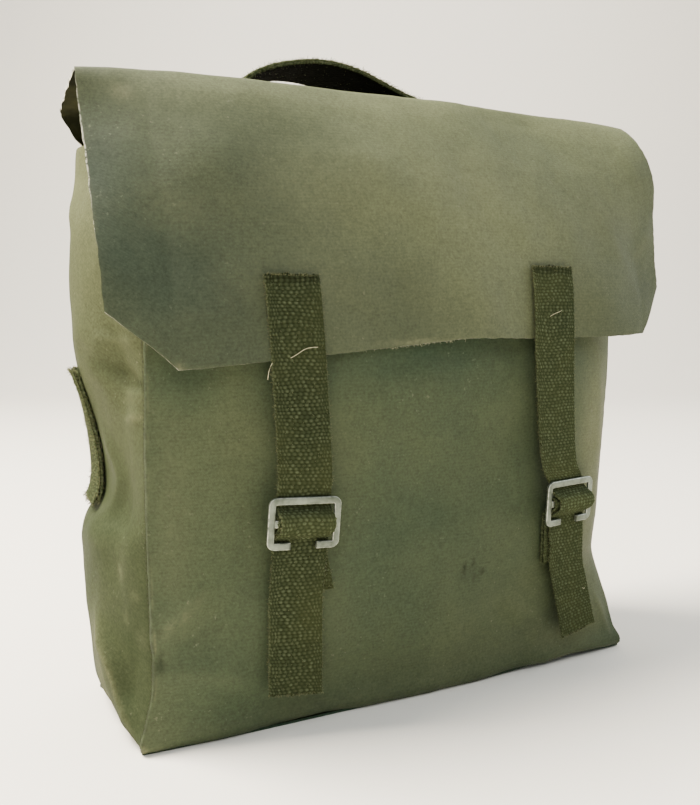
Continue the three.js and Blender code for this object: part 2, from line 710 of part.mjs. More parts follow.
// A rectangle with rounded corners, traced anticlockwise
function roundedWindow(path, left, low, right, high, radius) {
  path.moveTo(left + radius, low);
  path.lineTo(right - radius, low);
  path.absarc(right - radius, low + radius, radius, -Math.PI / 2, 0);
  path.lineTo(right, high - radius);
  path.absarc(right - radius, high - radius, radius, 0, Math.PI / 2);
  path.lineTo(left + radius, high);
  path.absarc(left + radius, high - radius, radius, Math.PI / 2, Math.PI);
  path.lineTo(left, low + radius);
  path.absarc(left + radius, low + radius, radius, Math.PI, (3 * Math.PI) / 2);
}

function buckle(strap) {
  const { halfWidth, halfHeight, strip, corner, window, halfBar, halfGap, hookEnd } = BUCKLE;
  const innerX = halfWidth - strip;
  const hookTop = strip - halfHeight;
  const outline = new THREE.Shape();
  outline.moveTo(halfGap + hookEnd, -halfHeight);
  outline.lineTo(halfWidth - corner, -halfHeight);
  outline.absarc(halfWidth - corner, corner - halfHeight, corner, -Math.PI / 2, 0);
  outline.lineTo(halfWidth, halfHeight - corner);
  outline.absarc(halfWidth - corner, halfHeight - corner, corner, 0, Math.PI / 2);
  outline.lineTo(corner - halfWidth, halfHeight);
  outline.absarc(corner - halfWidth, halfHeight - corner, corner, Math.PI / 2, Math.PI);
  outline.lineTo(-halfWidth, corner - halfHeight);
  outline.absarc(corner - halfWidth, corner - halfHeight, corner, Math.PI, (3 * Math.PI) / 2);
  outline.lineTo(-halfGap - hookEnd, -halfHeight);
  outline.absarc(-halfGap - hookEnd, hookEnd - halfHeight, hookEnd, -Math.PI / 2, 0);
  outline.lineTo(-halfGap, hookTop - hookEnd);
  outline.absarc(-halfGap - hookEnd, hookTop - hookEnd, hookEnd, 0, Math.PI / 2);
  outline.lineTo(-innerX + window, hookTop);
  outline.absarc(-innerX + window, hookTop + window, window, (3 * Math.PI) / 2, Math.PI, true);
  outline.lineTo(-innerX, -halfBar);
  outline.lineTo(innerX, -halfBar);
  outline.lineTo(innerX, hookTop + window);
  outline.absarc(innerX - window, hookTop + window, window, 0, -Math.PI / 2, true);
  outline.lineTo(halfGap + hookEnd, hookTop);
  outline.absarc(halfGap + hookEnd, hookTop - hookEnd, hookEnd, Math.PI / 2, Math.PI);
  outline.lineTo(halfGap, hookEnd - halfHeight);
  outline.absarc(halfGap + hookEnd, hookEnd - halfHeight, hookEnd, Math.PI, (3 * Math.PI) / 2);
  const upperWindow = new THREE.Path();
  roundedWindow(upperWindow, -innerX, halfBar, innerX, halfHeight - strip, window);
  outline.holes.push(upperWindow);
  const geometry = new THREE.ExtrudeGeometry(outline, {
    depth: BUCKLE.thickness - 2 * BUCKLE.bevel,
    curveSegments: 4,
    bevelEnabled: true,
    bevelSegments: 1,
    bevelSize: BUCKLE.bevel,
    bevelOffset: -BUCKLE.bevel,
    bevelThickness: BUCKLE.bevel,
  });
  geometry.translate(0, 0, BUCKLE.bevel - BUCKLE.thickness / 2);
  const frame = buckleFrame(strap);
  const place = new THREE.Matrix4().makeBasis(frame.across, frame.up, frame.out);
  place.setPosition(frame.centre);
  geometry.applyMatrix4(place);
  return geometry;
}

function carryHandle() {
  const rows = HANDLE_PATH.map((entry) => [1, 0, -1].map((side) => {
    const y = HANDLE_MIDDLE_Y + (side * WEB_WIDTH) / 2;
    const rearward = (side + 1) / 2;
    const x = entry.x - rearward * entry.rise * HANDLE_LEAN;
    const rise = entry.rise * (1 + rearward * HANDLE_REAR_RISE);
    return new THREE.Vector3(x, y, flapTopHeight(x, y) + HANDLE_LIFT + rise);
  }));
  return ribbonSolid(smoothRows(rows, STRAP_CURVE_STEPS), DOUBLED_WEB_WALL);
}

function sideLoop(sign) {
  const rows = LOOP_PATH.map((entry) => [0, 0.5, 1].map((share) => {
    const y = LOOP_FRONT_Y + WEB_WIDTH * (sign < 0 ? 1 - share : share);
    const frontY = gussetPoint(sign, 0, entry.height).y;
    const backY = gussetPoint(sign, 1, entry.height).y;
    const point = gussetPoint(sign, (y - frontY) / (backY - frontY), entry.height);
    point.x += sign * (entry.clear + DOUBLED_WEB_WALL / 2);
    return point;
  }));
  return ribbonSolid(smoothRows(rows, STRAP_CURVE_STEPS), DOUBLED_WEB_WALL);
}

// A named mesh with merged points and plain faces
function piece(name, geometry, material) {
  const bare = geometry.clone();
  bare.deleteAttribute('normal');
  bare.deleteAttribute('uv');
  const merged = mergeVertices(bare, MERGE_GRAIN);
  merged.computeVertexNormals();
  const mesh = new THREE.Mesh(merged, material);
  mesh.name = name;
  return mesh;
}

const canvas = new THREE.MeshStandardMaterial({ color: CANVAS_GREEN, roughness: 0.7, metalness: 0 });
const paleCanvas = new THREE.MeshStandardMaterial({ color: CANVAS_PALE, roughness: 0.72, metalness: 0 });
const webbing = new THREE.MeshStandardMaterial({ color: WEB_GREEN, roughness: 0.95, metalness: 0 });
const zinc = new THREE.MeshStandardMaterial({ color: ZINC_GREY, roughness: 0.38, metalness: 0.9 });

const pack = new THREE.Group();
pack.name = 'haversack';
pack.add(piece('front_panel', frontPanel(), canvas));
pack.add(piece('back_panel', backPanel(), canvas));
pack.add(piece('base_panel', basePanel(), canvas));
pack.add(piece('side_gusset_left', gusset(-1), paleCanvas));
pack.add(piece('side_gusset_right', gusset(1), paleCanvas));
pack.add(piece('flap', flap(), canvas));
for (const strap of STRAPS) {
  pack.add(piece(`closing_strap_${strap.side}`, closingStrap(strap), webbing));
  pack.add(piece(`chape_${strap.side}`, chape(strap), webbing));
  pack.add(piece(`buckle_${strap.side}`, buckle(strap), zinc));
}
pack.add(piece('carry_handle', carryHandle(), webbing));
pack.add(piece('side_loop_left', sideLoop(-1), webbing));
pack.add(piece('side_loop_right', sideLoop(1), webbing));

// The origin is the middle of the footprint of the whole pack, on the ground
const bounds = new THREE.Box3().setFromObject(pack);
const middle = bounds.getCenter(new THREE.Vector3());
pack.position.set(-middle.x, -middle.y, -bounds.min.z);
pack.updateMatrixWorld(true);

export default pack;
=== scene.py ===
"""Dressed model of a square olive haversack that stands with its flap buckled down.

The tables are in millimetres in the pack's own drawing: X to the right in a front view, the
front facing minus Y, and Z up from the ground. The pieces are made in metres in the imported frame.
"""
import logging
import math
from dataclasses import dataclass
from enum import Enum
from typing import NamedTuple, Sequence

import bmesh
import bpy
import numpy as np
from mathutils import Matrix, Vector


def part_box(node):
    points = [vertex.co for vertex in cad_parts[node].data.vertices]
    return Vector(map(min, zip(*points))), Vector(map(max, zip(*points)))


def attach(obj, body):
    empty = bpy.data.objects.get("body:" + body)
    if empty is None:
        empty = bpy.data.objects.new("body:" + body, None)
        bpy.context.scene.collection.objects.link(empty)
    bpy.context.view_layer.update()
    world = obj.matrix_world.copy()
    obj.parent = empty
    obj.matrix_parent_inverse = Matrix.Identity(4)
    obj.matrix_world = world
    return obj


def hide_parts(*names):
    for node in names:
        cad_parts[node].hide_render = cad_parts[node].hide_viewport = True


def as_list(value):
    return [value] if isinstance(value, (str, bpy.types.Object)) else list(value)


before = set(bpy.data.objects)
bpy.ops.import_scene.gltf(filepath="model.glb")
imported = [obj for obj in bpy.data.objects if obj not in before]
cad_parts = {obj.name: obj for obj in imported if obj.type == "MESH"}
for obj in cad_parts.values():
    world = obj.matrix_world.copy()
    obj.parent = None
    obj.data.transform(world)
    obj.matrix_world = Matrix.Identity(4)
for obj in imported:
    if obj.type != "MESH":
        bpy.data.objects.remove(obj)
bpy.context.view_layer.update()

LOG = logging.getLogger("haversack")
Array = np.ndarray
MM = 0.001

# Cloth and webbing
CANVAS_WALL = 1.6
WEB_WALL = 2.0
WEB_WIDTH = 33.0
HALF_WEB = WEB_WIDTH / 2
MOUTH_HEIGHT = 340.0


class FrontSection(NamedTuple):
    """One level of the front panel: its two seams and its flat middle."""

    height: float
    left_x: float
    left_y: float
    middle_y: float
    right_x: float
    right_y: float


class BackSection(NamedTuple):
    """One level of the back panel and how far it bows."""

    height: float
    left_x: float
    right_x: float
    y: float
    bow: float


class GussetBow(NamedTuple):
    """How far each side wall swells out at a height."""

    height: float
    left: float
    right: float


class Bell(NamedTuple):
    """A bell-shaped place: how deep a panel is pressed in (minus swells out), or how much it is rubbed,
    stained or faded there, or painted lighter or darker as light and shade.
    """

    at: float
    height: float
    span: float
    rise: float
    amount: float


class Crease(NamedTuple):
    """A straight fold across a panel: its two ends, half width, lift, pale tint of rubbing and painted
    highlight, and crispness.
    """

    from_at: float
    from_height: float
    to_at: float
    to_height: float
    width: float
    lift: float
    wear: float
    crisp: float = 1.5


class Bend(NamedTuple):
    """A corner of a fold's line: place across the panel and height."""

    at: float
    height: float


class Ridge(NamedTuple):
    """A sharp fold along a bent line: its height, how far it falls away ahead and behind, and its pale tint
    of rubbing and painted highlight.
    """

    line: tuple[Bend, ...]
    lift: float
    ahead: float
    behind: float
    wear: float


class Lie(NamedTuple):
    """A point of a loose thread on a strap: place along X, height and lift off the webbing."""

    x: float
    height: float
    lift: float


class Shelf(NamedTuple):
    """A place where the cloth falls in sharply above a level and eases out again higher up."""

    at: float
    height: float
    span: float
    rise: float
    depth: float


class Wave(NamedTuple):
    """Random unevenness of one size: its height, its wavelength and what picks its pattern."""

    height: float
    length: float
    seed: int


class FlapHem(NamedTuple):
    """A level of the flap's hem on the back panel."""

    height: float
    left_x: float
    right_x: float


class FlapRear(NamedTuple):
    """A step of the flap over the rear fold and the top."""

    step: float
    y: float
    middle_y: float
    height: float
    middle_height: float
    left_x: float
    right_x: float


class FlapFront(NamedTuple):
    """A step of the flap down the front; drop is the share of the way to the cut edge."""

    drop: float
    left_y: float
    middle_y: float
    right_y: float
    left_x: float
    right_x: float


class HemLine(NamedTuple):
    """The cut lower edge of the flap, from left to right."""

    across: float
    height: float


class Threading(NamedTuple):
    """A step of webbing through the buckle: up the strap and out from the buckle's plane."""

    up: float
    out: float


class Arch(NamedTuple):
    """A step of the carry handle: place along X and rise over the flap."""

    x: float
    rise: float


class Standoff(NamedTuple):
    """A step of a side loop: height, clearance from the gusset and how far its two layers part."""

    height: float
    clear: float
    split: float


def table(kind: type, *rows: tuple[float, ...]) -> tuple:
    """Returns rows of numbers as rows of one kind."""
    return tuple(kind(*row) for row in rows)


FRONT_SECTIONS = table(
    FrontSection,
    (0, -174.5, -61, -64, 178, -60), (6, -176, -63, -66.5, 178.5, -61.5),
    (16, -173, -62.5, -67, 175, -57.5), (34, -168.5, -62, -69.5, 172, -53),
    (54, -167.5, -62, -71.5, 169, -46), (72, -168, -62, -73, 167.5, -40),
    (95, -168.8, -62, -74.8, 169, -41.5), (130, -169.4, -62, -76.2, 170, -43),
    (170, -169.2, -62, -76.5, 171, -45), (215, -168.3, -62, -75.2, 172, -46.5),
    (260, -168, -57, -68.5, 172, -46), (305, -167, -47, -56.5, 170, -41),
    (340, -166, -33, -41, 168, -34),
)
FRONT_CURLS = (4, 5)
FRONT_DENTS = table(
    Bell,
    (118, 34, 20, 16, 3.2), (148, 64, 14, 20, 3.0), (20, 214, 60, 20, 1.8), (-150, 60, 12, 26, 2.0),
    (-20, 30, 50, 14, 1.6),
)
BACK_SECTIONS = table(
    BackSection,
    (0, -174, 174, 46, 2), (16, -173, 172, 51, 3), (40, -170, 169, 56, 4), (75, -168, 167, 60.5, 5),
    (170, -168, 169, 62, 6), (260, -168, 170, 61, 6), (340, -166, 167, 59, 5),
)
GUSSET_BOWS = table(
    GussetBow,
    (0, -5, 2), (4, -2, 3.4), (10, 4, 5), (17, 9.5, 6.6), (24, 12.5, 8), (45, 17.5, 11), (74, 20, 13),
    (100, 20, 15), (114, 19.8, 14), (121, 17, 12), (128, 11, 10), (136, 7.5, 9), (145, 6.5, 8),
    (168, 8, 8), (190, 14, 11), (208, 19.5, 15), (225, 22.8, 17), (258, 24, 18), (305, 22, 17),
    (340, 18, 15),
)
LEFT_GUSSET_DENTS = table(
    Bell,
    (-42, 218, 12, 24, 6), (-10, 232, 12, 14, -2.5), (-24, 36, 11, 26, -2.5), (-34, 120, 12, 50, 2.5),
    (0, 322, 22, 22, 5),
)
RIGHT_GUSSET_DENTS = table(
    Bell,
    (-30, 214, 14, 22, 4), (-22, 58, 16, 20, 4), (4, 322, 22, 22, 4),
)
FLAP_HEMS = table(
    FlapHem,
    (316, -166, 168), (330, -166.5, 168), (342, -168, 170),
)
FLAP_REARS = table(
    FlapRear,
    (0, 61.5, 66, 352, 354, -175, 175), (1, 58, 61.5, 360, 362, -181, 179),
    (2, 51, 53, 366, 368, -186, 183), (3, 36, 36, 369.5, 372, -187.5, 187),
    (4, 18, 17, 373, 376, -188.5, 191), (5, 2, -1, 376, 380, -189.5, 193),
)
FLAP_FRONTS = table(
    FlapFront,
    (0, -13, -17, -24, -190, 194), (0.03, -17, -23, -31, -190.5, 194.5),
    (0.09, -19, -31, -39, -190.5, 195.5), (0.18, -22, -41, -47, -190.5, 197),
    (0.28, -28, -51, -52, -190.5, 199), (0.42, -36, -61, -54, -190, 202),
    (0.58, -45, -69, -55, -190, 202), (0.78, -57, -76.5, -57, -190, 203),
    (1, -66, -80.5, -60, -190, 203),
)
FLAP_DROPS = (0, 0.03, 0.08, 0.15, 0.22, 0.29, 0.36, 0.43, 0.5, 0.57, 0.65, 0.73, 0.8, 0.87, 0.93, 1)
FLAP_CREST = (379, 382, 375)
FLAP_CURLS = (5, 4)
FLAP_HEM_LINE = table(
    HemLine,
    (0, 246), (0.047, 230), (0.090, 215), (0.22, 218.5), (0.34, 222), (0.46, 225.5), (0.55, 228.5),
    (0.7, 227.5), (0.86, 227.5), (0.94, 228.5), (0.97, 243), (1, 261),
)
FLAP_RIPPLES = table(
    Bell,
    (48, 232, 26, 26, -2.4), (-142, 236, 24, 30, -2.0), (150, 250, 26, 40, -3.0),
    (-30, 330, 50, 22, -1.8),
)
STRAP_THROUGH = table(
    Threading,
    (26, -2.7), (17, -2.65), (10.4, -2.65), (8.7, -1.95), (7, 0.1), (5.6, 2.5), (3.9, 4.3), (1.4, 4.9),
    (-1.4, 4.9), (-3.9, 4.3), (-5.7, 2.5), (-7.2, 0.1), (-8.8, -1.95), (-10.4, -2.7), (-17, -2.7),
    (-30, -2.7), (-44, -2.8),
)
CHAPE_LOOP = table(
    Threading,
    (-41, -5.15), (-30, -5.15), (-16, -5.15), (-11, -5.15), (-8.6, -4.75), (-6.8, -3.3), (-5.2, -1.2),
    (-3.8, 0.8), (-2.2, 2.15), (0, 2.4), (2, 2.2), (3.3, 1.2), (3.6, 0), (3.3, -1.2), (2, -2.3),
    (-0.5, -2.45), (-2.4, -2.65), (-4, -3.7), (-5.8, -5.5), (-8.2, -7.2), (-11, -7.6), (-16, -7.6),
    (-30, -7.6), (-41, -7.6),
)
HANDLE_MIDDLE_Y = 31
HANDLE_LEAN = 0.55
HANDLE_REAR_RISE = 0.02
HANDLE_PATH = table(
    Arch,
    (-110, 0), (-100, 0), (-91, 0.6), (-84.5, 4.5), (-79, 10.5), (-71, 16.5), (-60, 21.2), (-46, 25),
    (-28, 27.6), (-12, 27.2), (5, 24), (24, 17.6), (40, 12.4), (56, 8), (72, 3.6), (84, 0.6), (94, 0),
    (104, 0),
)
LOOP_FRONT_Y = 6
LOOP_PATH = table(
    Standoff,
    (131, 1.2, 1.9), (137, 1.1, 0.9), (145, 1.1, 0.2), (155, 1.3, 0.1), (167, 1.4, 0.3),
    (180, 1.3, 0.2), (192, 1.0, 0.1), (201, 0.8, 0.4), (210, 0.8, 1.3),
)
LEFT_THREADS = (
    (
        Lie(-92.7, 220.3, 0.1), Lie(-89.5, 221.7, 0.6), Lie(-86.3, 223.8, 0.7), Lie(-83.3, 225.1, 0.7),
        Lie(-79.6, 225.7, 0.6), Lie(-76.1, 225.5, 0.1),
    ),
    (Lie(-103.6, 217.4, 0.0), Lie(-105.0, 215.6, 0.4), Lie(-106.0, 212.6, 0.3), Lie(-106.4, 208.6, -0.2)),
)
RIGHT_THREADS = (
    (Lie(89.3, 241.4, 0.1), Lie(92.4, 242.9, 0.6), Lie(95.8, 243.8, 0.6), Lie(99.0, 244.6, 0.1)),
    (Lie(128.6, 54.6, 0.2), Lie(129.8, 53.9, 0.5), Lie(130.6, 54.2, 0.2)),
)

# How the cloth is drawn
SEAM_STEPS = (0.0, 0.22, 0.5, 0.85, 1.3, 2.4, 4.2)
SEAM_FADE = 1 / 6
ROLL_WIDTH = 1.1
FOLD_TIP = 0.12
FOLD_RUB_TIP = 0.1
FOLD_RUB_NARROWER = 2.2
RIDGE_TIP = 0.2
RIDGE_ROUND = 0.7
RIDGE_FACET = 1.3
RIDGE_RUB = 1.5
SHELF_LIP = 2.2
WAVE_COUNT = 16
WAVE_SPREAD = (0.7, 1.6)
FIRST_DROP = 0.8
DROP_ROUNDS = 12
HALVINGS = 24
FINE_ROWS = 24
CORNER_CUT = 0.25
MERGE_DISTANCE = 1e-7
STEEP = 0.9


class Side(Enum):
    """The two sides of the pack as seen from the front."""

    LEFT = -1
    RIGHT = 1

    @property
    def word(self) -> str:
        """The side's name in a piece's name."""
        return self.name.lower()


class Hold(Enum):
    """How a sheet of cloth is held."""

    STRETCHED = "stretched"
    DRAPED = "draped"
    HUNG = "hung"
    FOLDED = "folded"


def drawing_origin() -> Array:
    """Finds the drawing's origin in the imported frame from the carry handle's own ends.

    Returns:
        The origin in millimetres.
    """
    low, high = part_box("carry_handle")
    middle_x = (HANDLE_PATH[0].x + HANDLE_PATH[-1].x) / 2
    return np.array([
        (low.x + high.x) / 2 / MM - middle_x,
        (low.y + high.y) / 2 / MM - HANDLE_MIDDLE_Y,
        0.0,
    ])


ORIGIN = drawing_origin()


def lerp(low: Array, high: Array, share: Array) -> Array:
    """Returns the value a share of the way from low to high."""
    return low + (high - low) * share


def unit(vectors: Array) -> Array:
    """Returns vectors of length one along the last axis."""
    return vectors / np.maximum(np.linalg.norm(vectors, axis=-1, keepdims=True), 1e-9)


def bump(distance: Array) -> Array:
    """Returns one at no distance, falling smoothly to almost nothing at two."""
    return np.exp(-(distance ** 2))


def stacked(x: Array, y: Array, height: Array) -> Array:
    """Returns points from their three coordinates."""
    return np.stack(np.broadcast_arrays(x, y, height), axis=-1)


def steps_along(line: Array) -> Array:
    """Returns the distances between a line's points."""
    return np.linalg.norm(np.diff(line, axis=0), axis=-1)


def hermite(values: tuple[Array, Array], runs: tuple[Array, Array], share: Array) -> Array:
    """Joins two values by a smooth curve.

    Args:
        values: the values at its two ends.
        runs: the slopes there times the distance between the ends.
        share: shares of the way.

    Returns:
        The values at the shares.
    """
    square = share * share
    cube = square * share
    return (
        values[0] * (2 * cube - 3 * square + 1)
        + runs[0] * (cube - 2 * square + share)
        + values[1] * (3 * square - 2 * cube)
        + runs[1] * (cube - square)
    )


class Profile:
    """Smooth values between the rows of a short table, with no overshoot."""

    def __init__(self, rows: Sequence[NamedTuple], key: str) -> None:
        """Works out the slope of every column at every row.

        Args:
            rows: the table's rows.
            key: the column that the others are read along.
        """
        self.knots = np.array([getattr(row, key) for row in rows], float)
        self.values: dict[str, Array] = {}
        self.slopes: dict[str, Array] = {}
        for column in rows[0]._fields:
            values = np.array([getattr(row, column) for row in rows], float)
            steps = np.diff(values) / np.diff(self.knots)
            before = np.concatenate((steps[:1], steps))
            after = np.concatenate((steps, steps[-1:]))
            self.values[column] = values
            self.slopes[column] = np.where(before * after > 0, (before + after) / 2, 0.0)

    def at(self, column: str, where: Array) -> Array:
        """Reads one column.

        Args:
            column: its name.
            where: places along the key column.

        Returns:
            The values there.
        """
        where = np.clip(where, self.knots[0], self.knots[-1])
        low = np.clip(np.searchsorted(self.knots, where, side="right") - 1, 0, len(self.knots) - 2)
        span = self.knots[low + 1] - self.knots[low]
        values = self.values[column]
        slopes = self.slopes[column]
        share = (where - self.knots[low]) / span
        return hermite((values[low], values[low + 1]), (slopes[low] * span, slopes[low + 1] * span), share)

    def straight(self, column: str, where: Array) -> Array:
        """Reads one column along straight lines, which keeps its corners sharp."""
        return np.interp(where, self.knots, self.values[column])

    def place(self, across: Array, where: Array) -> Array:
        """Returns the place along X a share of the way from the left edge to the right one."""
        return lerp(self.at("left_x", where), self.at("right_x", where), across)

    def share(self, x: Array, where: Array) -> Array:
        """Returns the share of the way from the left edge to the right one at a place along X."""
        left_x = self.at("left_x", where)
        return (x - left_x) / (self.at("right_x", where) - left_x)

    def edges(self, where: Array) -> tuple[Array, Array, Array]:
        """Returns the left edge, the middle and the right edge along Y."""
        return self.at("left_y", where), self.at("middle_y", where), self.at("right_y", where)


def bells(at: Array, height: Array, table: Sequence[Bell]) -> Array:
    """Sums a table of bell-shaped places.

    Args:
        at: places across the panel.
        height: heights up the panel.
        table: the bells.

    Returns:
        The amount at each place.
    """
    amount = np.zeros(np.broadcast(at, height).shape)
    for row in table:
        across = (at - row.at) / row.span
        upward = (height - row.height) / row.rise
        amount += row.amount * np.exp(-across * across - upward * upward)
    return amount


def tapered(share: Array, tip: float) -> Array:
    """Returns how full a fold is along its length, with what is left of it at its tips."""
    return np.sin(np.pi * (tip + (1 - 2 * tip) * share))


def folds(at: Array, height: Array, creases: Sequence[Crease]) -> tuple[Array, Array]:
    """Raises straight folds across a panel.

    Args:
        at: places across the panel.
        height: heights up the panel.
        creases: the folds.

    Returns:
        The lift, and the pale tint of rubbing and painted highlight, at each place.
    """
    lift = np.zeros(at.shape)
    wear = np.zeros(at.shape)
    for crease in creases:
        along_at = crease.to_at - crease.from_at
        along_height = crease.to_height - crease.from_height
        length = along_at * along_at + along_height * along_height
        share = ((at - crease.from_at) * along_at + (height - crease.from_height) * along_height) / length
        share = np.clip(share, 0, 1)
        off_at = at - crease.from_at - share * along_at
        off_height = height - crease.from_height - share * along_height
        distance = np.hypot(off_at, off_height) / crease.width
        lift += crease.lift * np.exp(-(distance ** crease.crisp)) * tapered(share, FOLD_TIP)
        wear += crease.wear * bump(FOLD_RUB_NARROWER * distance) * tapered(share, FOLD_RUB_TIP)
    return lift, wear


def ridges(at: Array, height: Array, table: Sequence[Ridge]) -> tuple[Array, Array]:
    """Raises sharp folds along bent lines, with a flat facet to either side.

    Args:
        at: places across the panel.
        height: heights up the panel.
        table: the folds.

    Returns:
        The lift, and the pale tint of rubbing and painted highlight, at each place.
    """
    lift = np.zeros(at.shape)
    wear = np.zeros(at.shape)
    for fold in table:
        bends = np.array(fold.line, float)
        nearest = np.full(at.shape, np.inf)
        reach = np.ones(at.shape)
        place = np.zeros(at.shape)
        for index, (start, end) in enumerate(zip(bends[:-1], bends[1:])):
            way = end - start
            over = at - start[0]
            upward = height - start[1]
            share = np.clip((over * way[0] + upward * way[1]) / (way @ way), 0, 1)
            distance = np.hypot(over - share * way[0], upward - share * way[1])
            closer = distance < nearest
            behind = way[0] * upward - way[1] * over > 0
            nearest = np.where(closer, distance, nearest)
            reach = np.where(closer, np.where(behind, fold.behind, fold.ahead), reach)
            place = np.where(closer, (index + share) / (len(bends) - 1), place)
        ends = np.clip(place / RIDGE_TIP, 0, 1) * np.clip((1 - place) / RIDGE_TIP, 0, 1)
        rounded = np.hypot(nearest, RIDGE_ROUND) - RIDGE_ROUND
        lift += fold.lift * ends * np.clip(1 - rounded / reach, 0, 1) ** RIDGE_FACET
        wear += fold.wear * ends * bump(nearest / RIDGE_RUB)
    return lift, wear


def shelved(at: Array, height: Array, shelves: Sequence[Shelf]) -> Array:
    """Sums the places where the cloth falls in above a sharp level.

    Args:
        at: places across the panel.
        height: heights up the panel.
        shelves: the falls.

    Returns:
        The depth at each place.
    """
    depth = np.zeros(at.shape)
    for shelf in shelves:
        above = height - shelf.height
        step = np.clip(above / SHELF_LIP + 0.5, 0, 1)
        fall = step * step * (3 - 2 * step) * np.exp(-np.clip(above, 0, None) / shelf.rise)
        depth += shelf.depth * fall * bump((at - shelf.at) / shelf.span)
    return depth


def panel_shares(width: float, count: int) -> Array:
    """Spreads columns over a panel, close together at its two sewn edges.

    Args:
        width: the panel's width.
        count: how many columns lie between the edges' own.

    Returns:
        Shares of the width, from 0 to 1.
    """
    near = np.array(SEAM_STEPS) / width
    middle = np.linspace(near[-1], 1 - near[-1], count + 2)[1:-1]
    return np.concatenate((near, middle, 1 - near[::-1]))


def rolled_edge(distance: Array, depth: float) -> Array:
    """Returns how far a panel's edge rolls back towards its seam."""
    near = np.clip(1 - distance / ROLL_WIDTH, 0, 1)
    return depth * (1 - np.sqrt(1 - near ** 2))


def rumple(first: Array, second: Array, wavelength: float, seed: int) -> Array:
    """Gives soft random unevenness of one size, the same in every run.

    Args:
        first: places along one way of the cloth.
        second: places along the other way.
        wavelength: the size of the unevenness.
        seed: picks the pattern.

    Returns:
        Values that mostly lie between -1.5 and 1.5.
    """
    random = np.random.default_rng(seed)
    total = np.zeros(np.broadcast(first, second).shape)
    for _ in range(WAVE_COUNT):
        angle = random.uniform(0, 2 * math.pi)
        pitch = 2 * math.pi / (wavelength * random.uniform(*WAVE_SPREAD))
        phase = random.uniform(0, 2 * math.pi)
        total += np.sin(pitch * (math.cos(angle) * first + math.sin(angle) * second) + phase)
    return total / math.sqrt(WAVE_COUNT / 2)


def uneven(first: Array, second: Array, waves: Sequence[Wave]) -> Array:
    """Sums random unevenness of several sizes over the cloth."""
    return sum(wave.height * rumple(first, second, wave.length, wave.seed) for wave in waves)


def patchy(first: Array, second: Array, wavelength: float, seed: int, depth: float = 0.5) -> Array:
    """Returns a factor of about one less a depth, uneven by that depth."""
    return 1 - depth + depth * rumple(first, second, wavelength, seed)


